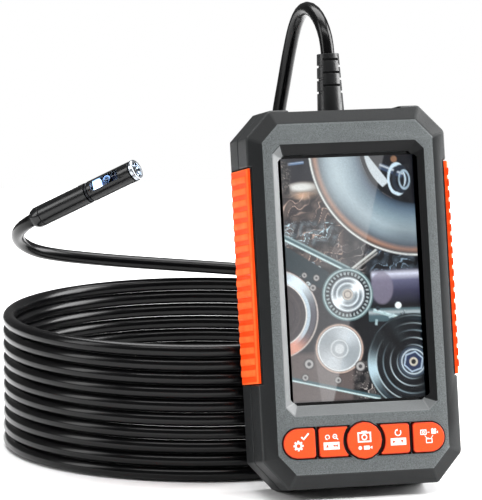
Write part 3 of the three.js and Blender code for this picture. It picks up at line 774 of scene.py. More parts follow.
def smooth_route(points: Sequence[Vector], step: float) -> list[Vector]:
    """Centripetal curve through points, sampled about every step.

    Args:
        points: points that it passes through.
        step: longest distance between samples.

    Returns:
        The samples, both ends included.
    """
    ends = [points[0] * 2 - points[1], *points, points[-1] * 2 - points[-2]]
    route = [points[0].copy()]
    for index in range(1, len(ends) - 2):
        before, start, end, after = ends[index - 1:index + 3]
        first = max(math.sqrt((start - before).length), 1e-6)
        middle = max(math.sqrt((end - start).length), 1e-6)
        last = max(math.sqrt((after - end).length), 1e-6)
        ahead = (end - start) / middle
        leave = ((start - before) / first - (end - before) / (first + middle) + ahead) * middle
        arrive = (ahead - (after - start) / (middle + last) + (after - end) / last) * middle
        count = max(1, math.ceil((end - start).length / step))
        for part in range(1, count + 1):
            t = part / count
            square, cube = t * t, t * t * t
            route.append(start * (2 * cube - 3 * square + 1) + leave * (cube - 2 * square + t)
                         + end * (3 * square - 2 * cube) + arrive * (cube - square))
    return route


@dataclass
class Cable:
    """One semi-rigid cable: a loop down behind the unit, ten wound turns and the probe's tail."""

    diameter: float = 5.4
    declared_length: float = 5.45
    centre: Point2 = (-33.4, 99.0)
    radius: float = 79.0
    turns: int = 10
    floor_height: float = 2.8
    pitch: float = 5.5
    climb_from: float = 285.0
    climb_over: float = 95.0
    points_per_turn: int = 24
    run_in: tuple[Point2, ...] = ((8.0, 72.4), (16.5, 76.8))
    first_degrees: float = 27.0
    last_degrees: float = 29.0
    probe_depth: float = 2.6
    sample_step: float = 4.0
    exit: Point3 = (-1.0, 27.0, 168.2)
    inside_boot: Point3 = (-1.0, 26.15, 164.2)
    loop: tuple[Point3, ...] = (
        (-1, 27, 168.2), (-1.3, 29, 174.2), (-1.9, 33.8, 179.6), (-2.6, 41, 183), (-3.3, 48.8, 183.6),
        (-3.9, 56, 181), (-4.6, 62.2, 174.6), (-5.6, 66.8, 164), (-7, 70, 150.7), (-8.6, 71.8, 138),
        (-10, 72.4, 118), (-9.6, 72.4, 94), (-8.4, 72, 70), (-6, 71, 47), (-1.6, 70.4, 28), (6, 71.4, 13.4),
        (16.4, 76, 5), (26.2, 84.6, 2.9), (33.2, 95.4, 2.8))
    tail: tuple[Point3, ...] = (
        (35.7, 137.3, 58.1), (22.5, 154.9, 58.2), (6.1, 167.4, 58.6), (-13, 175.3, 59.6),
        (-31.4, 177.9, 61.2), (-48, 177.6, 63.1), (-62.6, 176.6, 65.1), (-75.6, 174.8, 67.3),
        (-85.2, 171.8, 69.8), (-92, 167, 73.2), (-96.6, 160.4, 77.4), (-98.2, 152.6, 81.6),
        (-97.4, 145.6, 85.3), TAIL_END)

    def turn_height(self, degrees: float) -> float:
        """Height of the wound cable's middle after that much turning."""
        whole = math.floor((degrees - self.climb_from) / 360.0)
        part = min(max((degrees - self.climb_from - 360.0 * whole) / self.climb_over, 0.0), 1.0)
        return self.floor_height + self.pitch * (whole + part * part * (3 - 2 * part))

    def on_ring(self, degrees: float, radius: float, height: float) -> Vector:
        """A point of the winding, in millimetres."""
        turn = math.radians(degrees)
        x, y = self.centre
        return Vector((x + radius * math.cos(turn), y + radius * math.sin(turn), height))

    def route(self) -> list[Vector]:
        """The cable's whole middle line.

        Returns:
            Samples in metres, from inside the boot to inside the probe.
        """
        points = [Vector(self.inside_boot), *map(Vector, self.loop)]
        points.extend(self.on_ring(degrees, radius, self.floor_height) for degrees, radius in self.run_in)
        start = self.first_degrees
        finish = self.last_degrees + 360.0 * self.turns
        step = 360.0 / self.points_per_turn
        count = round((finish - step - start) / step)
        for index in range(count + 1):
            degrees = start + index * step
            points.append(self.on_ring(degrees, self.radius, self.turn_height(degrees)))
        points.extend(map(Vector, self.tail))
        points.append(Vector(self.tail[-1]) + Vector(PROBE_AIM).normalized() * self.probe_depth)
        return [point * MM for point in smooth_route(points, self.sample_step)]

    def build(self, carried: Sequence[str]) -> bpy.types.Object:
        """Args:
            carried: names of the pieces on its far end; not used.

        Returns:
            The cable.
        """
        route = self.route()
        length = sum((b - a).length for a, b in zip(route, route[1:]))
        data = bpy.data.curves.new("cable", "CURVE")
        data.dimensions = "3D"
        data.bevel_depth = self.diameter / 2 * MM
        data.bevel_resolution = 8
        data.use_fill_caps = True
        line = data.splines.new("POLY")
        line.points.add(len(route) - 1)
        for held, point in zip(line.points, route):
            held.co = (*point, 1.0)
        data.splines[0].use_smooth = True
        data.materials.append(dressed(CABLE_BLACK))
        cable = bpy.data.objects.new("cable", data)
        bpy.context.scene.collection.objects.link(cable)
        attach(cable, "unit")
        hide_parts("cable_loop", "cable_coil", "cable_tail")
        LOG.info("piece cable: %.3f m in %d samples", length, len(route))
        return cable


# ---------------------------------------------------------------- housing


@dataclass
class Housing:
    """The two shells and everything fixed to their outside.

    Depths are negative towards the front. Each starts where its edges or faces begin, from the back.
    """

    half_width: float = 40.3
    height: float = 147.8
    face: float = -29.0
    corner: float = 10.0
    corner_top: float = 10.4
    corner_bottom: float = 11.4
    well_middle: float = 81.3
    well_half: Point2 = (30.65, 52.8)
    key_row: Point2 = (12.2, 23.6)
    keys_half: float = 36.0
    keys_span: Point2 = (9.5, 26.5)
    keys_depth: float = -26.0
    webs_half: float = 31.0
    webs_depth: float = -28.0
    bevel_depth: float = -26.62
    well_depth: float = -26.2
    well_back: float = -22.0
    mouth_depth: float = -28.95
    facing: float = 0.97
    shortest: float = 1.2
    near: float = 0.06

    def inset(self, point: Vector) -> float:
        """How far a point lies inside the case's outline, seen from the front."""
        across = self.half_width - abs(point.x)
        up = min(point.z, self.height - point.z)
        high = self.corner_top if point.z > self.height / 2 else self.corner_bottom
        ends = across / self.corner + up / high - 1.0
        slant = ends * self.corner * high / math.hypot(self.corner, high)
        return min(across, up, slant)

    def in_well(self, point: Vector) -> bool:
        """Whether a point lies in the screen well."""
        return (abs(point.x) < self.well_half[0] + 0.2
                and abs(point.z - self.well_middle) < self.well_half[1] + 0.2)

    def on_skin(self, a: Vector, b: Vector) -> bool:
        """Whether an edge lies on the case's outer skin and is long enough to round."""
        if (a - b).length < self.shortest or self.in_well(a):
            return False
        return (all(p.y < self.bevel_depth or self.inset(p) < self.near for p in (a, b))
                and not self.on_key_row(a))

    def on_key_row(self, point: Vector) -> bool:
        """Whether a point belongs to the key openings."""
        low, high = self.keys_span
        return abs(point.x) < self.keys_half and low < point.z < high and point.y < self.keys_depth

    def on_well(self, a: Vector, b: Vector) -> bool:
        """Whether an edge is one of the well's."""
        return all(self.in_well(p) and p.y < self.well_depth for p in (a, b))

    def on_key_mouth(self, a: Vector, b: Vector) -> bool:
        """Whether an edge is the mouth of a key opening."""
        return all(self.on_key_row(p) and p.y < self.mouth_depth for p in (a, b))

    def on_back(self, a: Vector, b: Vector) -> bool:
        """Whether an edge is on the back plane or the back bevel."""
        if (a - b).length < self.shortest:
            return False
        return all(p.y > -1.7 and (self.inset(p) < 1.7 or p.y > -0.05) for p in (a, b))

    def split_key_row(self, built: bmesh.types.BMesh) -> None:
        """Cuts the front face level with the tops and feet of the keys."""
        for level in self.key_row:
            geometry = [*built.verts, *built.edges, *built.faces]
            bmesh.ops.bisect_plane(built, geom=geometry, dist=0.001, plane_co=(0, 0, level),
                                   plane_no=(0, 0, 1))

    def paint_faces(self, built: bmesh.types.BMesh) -> None:
        """Paints the front face a lighter, grained copy of the case plastic as painted light, the well walls
        lit and shaded copies as painted light and shade, and the webs between the keys black as painted
        shade.
        """
        low, high = self.key_row
        for face in built.faces:
            middle, normal = face.calc_center_median(), face.normal
            on_web = abs(middle.x) < self.webs_half and low < middle.z < high
            face.material_index = 0
            # Well walls that face right or up take the painted lit copy, the others the painted shade copy.
            if (self.in_well(middle) and self.face - 0.1 < middle.y < self.well_back
                    and normal.y > -self.facing):
                face.material_index = 3 if normal.x + normal.z > 0 else 4
            # Webs between the keys take the black: painted shade in place of the gaps' shadow.
            elif on_web and normal.y < -0.3 and middle.y < self.webs_depth:
                face.material_index = 2
            # Faces that look straight ahead take the grained copy painted lighter as if lit.
            elif normal.y < -self.facing and middle.y < self.face + 0.4:
                face.material_index = 1

    def front(self) -> None:
        """The front shell, with its bevel, well and key openings rounded."""
        built = merged_copy("front_shell")
        round_edges(built, [
            Rounding(self.on_skin, 0.8, steps=4),
            Rounding(self.on_well, 0.4, sharper_than=20.0),
            Rounding(self.on_key_mouth, 0.18, steps=2, sharper_than=50.0)])
        self.split_key_row(built)
        self.paint_faces(built)
        finishes = [dressed(finish) for finish in (DARK_CASE, FACE_PAINTED_LIT, KEY_WEB_SHADE, WELL_PAINTED_LIT, WELL_PAINTED_SHADE)]
        mesh = to_mesh(built, finishes, LEAN.matrix())
        even_shading(finish_piece("front_shell_moulding", mesh, "unit", ["front_shell"]))

    def rear(self) -> None:
        """The rear shell, with its back edges rounded."""
        built = merged_copy("rear_shell")
        round_edges(built, [Rounding(self.on_back, 0.4),
                            Rounding(lambda a, b: all(self.inset(p) < self.near for p in (a, b))
                                     and (a - b).length > self.shortest and a.y < -2, 0.4, steps=2)])
        mesh = to_mesh(built, [dressed(DARK_CASE)], LEAN.matrix())
        even_shading(finish_piece("rear_shell_moulding", mesh, "unit", ["rear_shell"]))

    def simple(self, node: str, name: str, finish: Plastic, width: float,
               body: str = "unit", longer_than: float = 1.0, steps: int = 2) -> None:
        """A CAD node's copy with all its longer sharp edges rounded.

        Args:
            node: the CAD node.
            name: the new piece's name.
            finish: its finish.
            width: rounding width in millimetres.
            body: body that it rides on.
            longer_than: shortest edge that is rounded, in millimetres.
            steps: steps of the rounding.
        """
        built = merged_copy(node)
        round_edges(built, [Rounding(lambda a, b: (a - b).length > longer_than, width, steps, 28.0)])
        mesh = to_mesh(built, [dressed(finish)], LEAN.matrix())
        even_shading(finish_piece(name, mesh, body, [node]))

    def build(self) -> None:
        """Makes the shells, plates, cover and port door."""
        self.front()
        self.rear()
        self.simple("top_plate", "top_deck_insert", DARK_CASE, 0.3)
        self.simple("bottom_plate", "bottom_deck_insert", DARK_CASE, 0.3)
        self.simple("battery_cover", "battery_lid", DARK_CASE, 0.35)
        self.simple("port_cover", "port_door", BLACK_RUBBER, 0.3, "port_flap")
        self.simple("strain_relief", "cable_boot", BLACK_RUBBER, 0.12, longer_than=0.3)


@dataclass
class Grip:
    """One ribbed side grip: a soft pad with proud ribs and a rim painted darker red as shade."""

    side: Side
    inner: float = 39.35
    floor: float = 40.95
    rib_rise: float = 0.5
    low: float = 42.0
    high: float = 125.6
    front: float = -26.55
    back: float = -3.0
    ribs: int = 18
    rib_front: float = -24.6
    rib_share: float = 0.66

    def slab(self) -> bmesh.types.BMesh:
        """The pad under the ribs."""
        built = bmesh.new()
        sign = self.side.value
        bmesh.ops.create_cube(built, size=1.0)
        for vert in built.verts:
            outer = vert.co.x > 0
            vert.co.x = sign * (self.floor if outer else self.inner)
            vert.co.y = self.back if vert.co.y > 0 else self.front
            vert.co.z = self.high if vert.co.z > 0 else self.low
        bmesh.ops.recalc_face_normals(built, faces=built.faces)
        outer_side = Rounding(lambda a, b: all(abs(p.x) > self.floor - 0.01 for p in (a, b)), 0.8, 4)
        round_edges(built, [outer_side])
        for face in built.faces:
            # Downward faces, and the left grip's front face, take the darker red copy: painted shade.
            painted_shade = face.normal.z < -0.8 or (self.side is Side.LEFT and face.normal.y < -0.8)
            face.material_index = 1 if painted_shade else 0
        return built

    def rib(self) -> bmesh.types.BMesh:
        """One rib, a low bar with a slanted front end, lying along the depth."""
        sign = self.side.value
        half = self.pitch() * self.rib_share / 2
        section = [(-half, -0.4), (-half * 0.98, 0.0), (-half * 0.7, self.rib_rise * 0.8),
                   (-half * 0.25, self.rib_rise), (half * 0.25, self.rib_rise),
                   (half * 0.7, self.rib_rise * 0.8), (half * 0.98, 0.0), (half, -0.4)]
        stations = [(self.rib_front - 0.9, 0.05), (self.rib_front - 0.2, 0.6), (self.rib_front + 0.8, 1.0),
                    (self.back - 1.6, 1.0), (self.back - 0.9, 0.6), (self.back - 0.35, 0.05)]
        built = bmesh.new()
        mark = built.verts.layers.float.new("edge")
        rings = []
        for along, rise in stations:
            ring = []
            for across, up in section:
                x = sign * (self.floor + (up * rise if up > 0 else up))
                ring.append(built.verts.new((x, along, across)))
                # The upper part of each rib is marked for the lighter edge tone: a painted highlight on the
                # rib tops.
                ring[-1][mark] = 1.0 if up > self.rib_rise * 0.7 and rise > 0.5 else 0.0
            rings.append(ring)
        bridge(built, rings)
        built.faces.new(rings[0])
        built.faces.new(reversed(rings[-1]))
        bmesh.ops.recalc_face_normals(built, faces=built.faces)
        return built

    def pitch(self) -> float:
        """Distance from rib to rib."""
        return (self.high - self.low - 4.0) / self.ribs

    def build(self, layouts: LayoutTrees) -> None:
        """Makes the pad and its ribs."""
        word = self.side.name.lower()
        pad = to_mesh(self.slab(), [dressed(GRIP_ORANGE), dressed(GRIP_SHADE)], LEAN.matrix())
        even_shading(finish_piece(word + "_grip_pad", pad, "unit", [word + "_grip"]))
        source = to_mesh(self.rib(), [], Matrix.Identity(4), smooth_below=60.0)
        start = self.low + 2.0 + self.pitch() / 2
        mesh = baked(bpy.data.objects.new(word + "_rib", source), layouts.rows("Rib"), {
            "Count": self.ribs, "Rib Start": (0.0, 0.0, start), "Rib Step": (0.0, 0.0, self.pitch()),
            "Finish": dressed(GRIP_ORANGE)})
        mesh.transform(LEAN.matrix())
        finish_piece(word + "_grip_ribs", mesh, "unit")


@dataclass
class Screws:
    """The four case screws on the back."""

    radius: float = 2.5
    head: float = -0.9
    head_thick: float = 1.6
    length: float = 18.0
    shaft: float = 1.25
    low: Point2 = (31.5, 8.0)
    high: Point2 = (33.6, 132.0)

    def one(self) -> bmesh.types.BMesh:
        """One domed cross-head screw that points towards the front, at the origin."""
        built = bmesh.new()
        profile = [(0.0, self.head), (0.9, self.head), (self.radius - 0.5, self.head - 0.12),
                   (self.radius - 0.12, self.head - 0.4), (self.radius, self.head - 0.8),
                   (self.radius, self.head - self.head_thick), (self.shaft, self.head - self.head_thick)]
        depth = self.head - self.head_thick
        while depth > self.head - self.length + 1.0:
            depth -= 0.5
            profile.append((self.shaft - 0.2, depth))
            depth -= 0.5
            profile.append((self.shaft, depth))
        profile.append((0.0, self.head - self.length))
        sides = 24
        rings = []
        for radius, y in profile:
            if radius == 0.0:
                rings.append([built.verts.new((0.0, y, 0.0))])
                continue
            turns = [2 * math.pi * k / sides for k in range(sides)]
            rings.append([built.verts.new((radius * math.cos(t), y, radius * math.sin(t))) for t in turns])
        bridge(built, rings)
        bmesh.ops.recalc_face_normals(built, faces=built.faces)
        for turn in (0.0, math.pi / 2):
            self._cross(built, turn)
        return built

    def _cross(self, built: bmesh.types.BMesh, turn: float) -> None:
        """Adds one bar of the driver cross, sunk just into the head."""
        reach, half = self.radius * 0.62, 0.28
        spin = Matrix.Rotation(turn, 4, "Y")
        corners = [(-reach, -half), (reach, -half), (reach, half), (-reach, half)]
        verts = [built.verts.new(spin @ Vector((x, self.head + 0.02, z))) for x, z in corners]
        face = built.faces.new(verts)
        face.material_index = 1
        if face.normal.y < 0:
            face.normal_flip()

    def build(self, layouts: LayoutTrees) -> None:
        """Sets the screws out at their four places."""
        source = to_mesh(self.one(), [], Matrix.Identity(4), smooth_below=50.0)
        mesh = baked(bpy.data.objects.new("screw_pattern", source), layouts.rows("Low", "High"), {
            "Count": 2, "Finish": dressed(STEEL),
            "Low Start": (-self.low[0], 0.0, self.low[1]), "Low Step": (2 * self.low[0], 0.0, 0.0),
            "High Start": (-self.high[0], 0.0, self.high[1]), "High Step": (2 * self.high[0], 0.0, 0.0)})
        mesh.transform(LEAN.matrix())
        finish_piece("case_screws", mesh, "unit", [f"case_screw_{k}" for k in (1, 2, 3, 4)])


# ---------------------------------------------------------------- keys and symbols


@dataclass
class SymbolSheet:
    """Thin printed shapes on one key, drawn in millimetres round the key's middle."""

    middle: Point2
    face: float = -29.8
    rise: float = 0.05

    def __post_init__(self) -> None:
        """Starts an empty sheet."""
        self.built = bmesh.new()

    def shape(self, outline: Sequence[Point2], ink: int = 0, lift: float = 0.0) -> None:
        """Adds one filled outline as a thin raised print.

        Args:
            outline: its corners, counter-clockwise from the front.
            ink: 0 for white, 1 for the key's colour.
            lift: extra height, for a shape on another.
        """
        top = self.face - self.rise - lift
        upper = [self.built.verts.new((self.middle[0] + x, top, self.middle[1] + z)) for x, z in outline]
        lower = [self.built.verts.new((v.co.x, self.face + 0.05, v.co.z)) for v in upper]
        faces = [self.built.faces.new(upper), self.built.faces.new(list(reversed(lower)))]
        for index in range(len(outline)):
            after = (index + 1) % len(outline)
            faces.append(self.built.faces.new((upper[after], upper[index], lower[index], lower[after])))
        for face in faces:
            face.material_index = ink

    def disc(self, x: float, z: float, radius: float, sides: int = 28) -> None:
        """Adds a filled round."""
        turns = [2 * math.pi * k / sides for k in range(sides)]
        self.shape([(x + radius * math.cos(t), z + radius * math.sin(t)) for t in turns])

    def arc(self, x: float, z: float, radius: float, width: float, start: float = 0.0,
            end: float = 360.0) -> None:
        """Adds an arc of a line, in short pieces."""
        count = max(3, round(abs(end - start) / 15))
        inner, outer = radius - width / 2, radius + width / 2
        for k in range(count):
            a = math.radians(start + (end - start) * k / count)
            b = math.radians(start + (end - start) * (k + 1) / count)
            corners = ((inner, a), (outer, a), (outer, b), (inner, b))
            self.shape([(x + far * math.cos(turn), z + far * math.sin(turn)) for far, turn in corners])

    def box(self, x: float, z: float, width: float, height: float) -> None:
        """Adds a filled box round its middle."""
        w, h = width / 2, height / 2
        self.shape([(x - w, z - h), (x + w, z - h), (x + w, z + h), (x - w, z + h)])

    def line(self, a: Point2, b: Point2, width: float) -> None:
        """Adds a straight stroke."""
        along = Vector((b[0] - a[0], b[1] - a[1])).normalized() * (width / 2)
        side = Vector((-along.y, along.x))
        self.shape([(a[0] - side.x, a[1] - side.y), (b[0] - side.x, b[1] - side.y),
                    (b[0] + side.x, b[1] + side.y), (a[0] + side.x, a[1] + side.y)])

    def arrow(self, x: float, z: float, size: float, turn: float, cut_out: bool = False) -> None:
        """Adds a solid arrow head that points along turn degrees, in the key's colour where it is cut out."""
        angles = [math.radians(turn + step) for step in (0, 130, 230)]
        corners = [(x + size * math.cos(a), z + size * math.sin(a)) for a in angles]
        self.shape(corners, ink=int(cut_out), lift=0.02 if cut_out else 0.0)

    def outline_box(self, x: float, z: float, width: float, height: float, stroke: float) -> None:
        """Adds a box drawn as a line."""
        w, h = width / 2, height / 2
        self.box(x, z + h, width + stroke, stroke)
        self.box(x, z - h, width + stroke, stroke)
        self.box(x - w, z, stroke, height - stroke)
        self.box(x + w, z, stroke, height - stroke)

    def finish(self, name: str, body: str) -> None:
        """Makes the sheet a piece on its key."""
        bmesh.ops.recalc_face_normals(self.built, faces=self.built.faces)
        inks = [dressed(PRINT_WHITE), dressed(KEY_ORANGE)]
        mesh = to_mesh(self.built, inks, LEAN.matrix(), smooth_below=20.0)
        finish_piece(name, mesh, body)


@dataclass
class Keypad:
    """Five soft keys in a row and their symbols."""

    height: float = 17.9
    corner: float = 1.3
    near_face: float = -29.75
    places: dict[str, float] = field(default_factory=lambda: {
        "settings": -26.1, "zoom": -13.4, "capture": 0.0, "rotate": 13.4, "gallery": 26.1})

    def on_corner(self, a: Vector, b: Vector) -> bool:
        """Whether an edge is an upright corner of a cap, running back from its face."""
        level = math.hypot(a.x - b.x, a.z - b.z) < 0.01
        return min(a.y, b.y) < self.near_face and abs(a.y - b.y) > 0.5 and level

    def caps(self) -> None:
        """The five key caps with soft edges."""
        for word in self.places:
            built = merged_copy("button_" + word)
            front = Rounding(lambda a, b: all(p.y < self.near_face for p in (a, b)), 0.42, 4, 30.0)
            round_edges(built, [Rounding(self.on_corner, self.corner, 4, 50.0), front])
            for face in built.faces:
                # Faces that turn away from the front take the darker red copy: painted shade on the key
                # sides.
                face.material_index = 0 if face.normal.y < -0.55 else 1
            mesh = to_mesh(built, [dressed(KEY_ORANGE), dressed(KEY_SIDE_SHADE)], LEAN.matrix())
            even_shading(finish_piece("key_cap_" + word, mesh, "key_" + word, ["button_" + word]))

    def settings(self, made: SymbolSheet) -> None:
        """A gear and a tick."""
        made.arc(-0.6, -0.9, 1.15, 0.78)
        for k in range(8):
            turn = math.radians(45.0 * k)
            a = (-0.6 + 1.4 * math.cos(turn), -0.9 + 1.4 * math.sin(turn))
            b = (-0.6 + 2.05 * math.cos(turn), -0.9 + 2.05 * math.sin(turn))
            made.line(a, b, 0.74)
        made.line((0.7, 2.5), (1.7, 1.5), 0.62)
        made.line((1.5, 1.5), (3.7, 3.8), 0.62)

    def zoom(self, made: SymbolSheet) -> None:
        """A turn arrow and a magnifier over a two-way bar."""
        made.arc(-1.5, 1.95, 0.8, 0.34, -60, 240)
        made.arrow(-1.9, 1.15, 0.55, 200)
        made.arc(1.5, 2.1, 0.78, 0.34)
        made.line((2.05, 1.55), (2.75, 0.85), 0.4)
        made.box(1.5, 2.1, 0.8, 0.24)
        made.box(0.0, -1.5, 6.4, 2.9)
        made.arrow(-1.7, -1.6, 0.75, 90, cut_out=True)
        made.arrow(1.1, -1.5, 0.7, 180, cut_out=True)
        made.arrow(2.1, -1.5, 0.7, 180, cut_out=True)

    def capture(self, made: SymbolSheet) -> None:
        """A still camera over a record dot and a film camera."""
        made.outline_box(0.0, 1.2, 4.9, 3.4, 0.6)
        made.box(0.0, 3.25, 2.2, 0.8)
        made.arc(0.0, 1.2, 0.95, 0.5)
        made.disc(-1.9, -2.9, 0.72)
        made.box(0.75, -2.9, 2.3, 1.5)
        made.shape([(2.05, -2.9), (3.0, -3.55), (3.0, -2.25)])

    def rotate(self, made: SymbolSheet) -> None:
        """A turn arrow over a two-way bar."""
        made.arc(0.3, 2.3, 1.15, 0.42, 110, 400)
        made.arrow(-0.2, 3.35, 0.62, 180)
        made.box(0.3, -1.2, 6.3, 2.8)
        made.arrow(-1.5, -1.2, 0.75, 0, cut_out=True)
        made.arrow(1.8, -1.1, 0.75, 270, cut_out=True)

    def gallery(self, made: SymbolSheet) -> None:
        """Two small cameras joined to a folder."""
        made.outline_box(-2.1, 1.9, 2.2, 1.7, 0.34)
        made.arc(-2.1, 1.9, 0.42, 0.3)
        made.box(2.1, 1.7, 1.9, 1.2)
        made.disc(1.6, 2.75, 0.55)
        made.disc(2.7, 2.75, 0.45)
        made.shape([(3.15, 1.7), (3.8, 1.15), (3.8, 2.25)])
        made.box(-0.05, 1.8, 0.8, 0.3)
        made.line((-1.6, 0.6), (-0.75, -0.55), 0.26)
        made.line((1.7, 0.6), (0.95, -0.55), 0.26)
        made.outline_box(0.1, -1.5, 2.3, 1.5, 0.36)
        made.box(-0.55, -0.5, 1.0, 0.4)

    def build(self) -> None:
        """Makes the caps and all the symbols."""
        self.caps()
        drawings = (self.settings, self.zoom, self.capture, self.rotate, self.gallery)
        for (word, place), draw in zip(self.places.items(), drawings):
            sheet = SymbolSheet((place, self.height))
            draw(sheet)
            sheet.finish("symbol_" + word, "key_" + word)
            repaint("switch_" + word, DARK_PLASTIC)


# ---------------------------------------------------------------- display


Tone = tuple[int, int, int]
Box4 = tuple[float, float, float, float]


@dataclass
class EnginePicture:
    """The live picture on the display: a general view of a car engine's belts and pipe.

    Everything is in millimetres of the picture, x to the right and y down. A tone is in screen values.
    """

    width: float = 54.2
    height: float = 95.0
    cell: float = 0.31
    seed: int = 7
    pipe_middle: Point2 = (55.0, -3.2)
    pipe_inner: float = 22.4
    pipe_outer: float = 43.2

    def __post_init__(self) -> None:
        """Lays out the grid of points that is painted."""
        self.columns = round(self.width / self.cell)
        self.rows = round(self.height / self.cell)
        across = np.linspace(0.0, self.width, self.columns + 1)
        down = np.linspace(0.0, self.height, self.rows + 1)
        self.x, self.y = (grid.ravel() for grid in np.meshgrid(across, down))
        self.paint = np.tile(np.array(shade(44, 42, 46)[:3]), (len(self.x), 1))
        self.random = np.random.default_rng(self.seed)

    def cover(self, mask: np.ndarray, color: Sequence[float] | np.ndarray) -> None:
        """Lays a linear colour over the picture where mask, 0 to 1, says so."""
        tone = np.asarray(color, float)
        self.paint += mask[:, None] * ((tone if tone.ndim == 2 else tone[None, :3]) - self.paint)

    def edge(self, distance: np.ndarray, soft: float = 0.3) -> np.ndarray:
        """1 where distance is negative, 0 where positive, with a soft change between."""
        return np.clip(0.5 - distance / soft, 0.0, 1.0)

    def within(self, box: Box4, soft: float) -> np.ndarray:
        """1 inside a box of left, top, right and bottom, with soft sides."""
        return (self.edge(box[0] - self.x, soft) * self.edge(self.x - box[2], soft)
                * self.edge(box[1] - self.y, soft) * self.edge(self.y - box[3], soft))

    def radius(self, x: float, y: float, squeeze: float = 1.0) -> np.ndarray:
        """Distance of every point from a centre, a rounder or flatter circle by squeeze."""
        return np.hypot((self.x - x) / squeeze, self.y - y)

    def ring(self, x: float, y: float, inner: float, outer: float, tone: Tone,
             squeeze: float = 1.0, soft: float = 0.35, cover: float = 1.0) -> None:
        """Paints a ring, or a disc where inner is 0."""
        far = self.radius(x, y, squeeze)
        mask = self.edge(far - outer, soft)
        if inner > 0:
            mask = mask * self.edge(inner - far, soft)
        self.cover(mask * cover, shade(*tone))

    def rings(self, middle: Point2, *bands: tuple[float, float, Tone]) -> None:
        """Paints rings of inner radius, outer radius and tone round one middle."""
        for inner, outer, tone in bands:
            self.ring(*middle, inner, outer, tone)

    def sheen(self, middle: Point2, inner: float, outer: float, turn: float, tone: Tone,
              sharp: float) -> None:
        """Paints the two opposite glints that a turned metal ring has."""
        far = self.radius(*middle)
        glint = np.abs(np.cos(self.angle(middle) - math.radians(turn))) ** sharp
        self.cover(self.edge(far - outer) * self.edge(inner - far) * glint, shade(*tone))

    def angle(self, middle: Point2) -> np.ndarray:
        """Bearing of every point from a centre."""
        return np.arctan2(self.y - middle[1], self.x - middle[0])

    def ramp(self, share: np.ndarray, stops: Sequence[float], tones: Sequence[Tone]) -> np.ndarray:
        """A linear colour for every point, from its share and the tones at the stops."""
        colors = np.array([shade(*tone)[:3] for tone in tones])
        return np.stack([np.interp(share, stops, colors[:, k]) for k in range(3)], axis=1)

    def glow(self, middle: Point2, size: Point2) -> np.ndarray:
        """A soft spot, 1 at its middle."""
        return np.exp(-((self.x - middle[0]) / size[0]) ** 2 - ((self.y - middle[1]) / size[1]) ** 2)

    def stroke(self, a: Point2, b: Point2, half: float, tone: Tone, shine: float = 0.0) -> None:
        """Paints a straight bar, with a bright line along its upper side where shine is not 0."""
        dx, dy = b[0] - a[0], b[1] - a[1]
        size = math.hypot(dx, dy)
        along = ((self.x - a[0]) * dx + (self.y - a[1]) * dy) / size
        side = ((self.x - a[0]) * dy - (self.y - a[1]) * dx) / size
        inside = self.edge(np.abs(side) - half, 0.35) * self.edge(np.abs(along - size / 2) - size / 2, 0.35)
        self.cover(inside, shade(*tone))
        if shine:
            glint = inside * np.exp(-((side - half * 0.35) / (half * 0.3)) ** 2) * shine
            self.cover(glint, shade(226, 232, 234))

    def clutter(self, box: Box4, count: int, tones: Sequence[Tone], size: Point2) -> None:
        """Scatters small bars and bolts over a part of the picture.

        Args:
            box: left, top, right and bottom of that part.
            count: how many.
            tones: tones to choose from.
            size: shortest and longest bar.
        """
        for _ in range(count):
            x = self.random.uniform(box[0], box[2])
            y = self.random.uniform(box[1], box[3])
            length = self.random.uniform(*size)
            turn = self.random.choice([0.2, 0.5, 1.2, 1.7, 2.6, 2.9])
            tone = tones[self.random.integers(len(tones))]
            end = (x + length * math.cos(turn), y + length * math.sin(turn))
            if self.random.random() < 0.3:
                self.rings((x, y), (0.0, 0.85, (30, 30, 34)), (0.35, 0.7, tone))
            else:
                half = self.random.uniform(0.2, 0.55)
                self.stroke((x, y), end, half, tone, self.random.uniform(0.2, 0.8))

    def castings(self, box: Box4, scale: float, bright: Tone, dark: Tone, phase: float) -> None:
        """Fills a part of the picture with folded castings: dark hollows and thin bright ridges.

        Args:
            box: left, top, right and bottom of that part.
            scale: folds per millimetre.
            bright: tone of the ridges.
            dark: tone of the hollows.
            phase: shifts the folds.
        """
        x, y = self.x * scale, self.y * scale
        fold = (np.sin(1.7 * x + 2.6 * y + 1.9 * np.sin(1.3 * x - 0.9 * y + phase) + phase)
                + 0.7 * np.sin(3.1 * x - 1.2 * y + 2.2 * np.sin(0.8 * x + 1.7 * y - phase)))
        shape = np.sin(0.9 * x + 1.1 * y + 1.5 * np.sin(0.7 * x - 0.5 * y) + 2.0 * phase)
        inside = self.within(box, 1.6)
        high, low = shade(*bright), shade(*dark)
        self.cover(inside * 0.75 * np.clip(0.5 - 0.6 * shape, 0.0, 1.0), low)
        self.cover(inside * 0.5 * np.clip(fold * 0.6, 0.0, 1.0), [(a + b) * 0.35 for a, b in zip(high, low)])
        self.cover(inside * np.exp(-(fold / 0.17) ** 2) * np.clip(0.55 + 0.6 * shape, 0.1, 1.0), high)

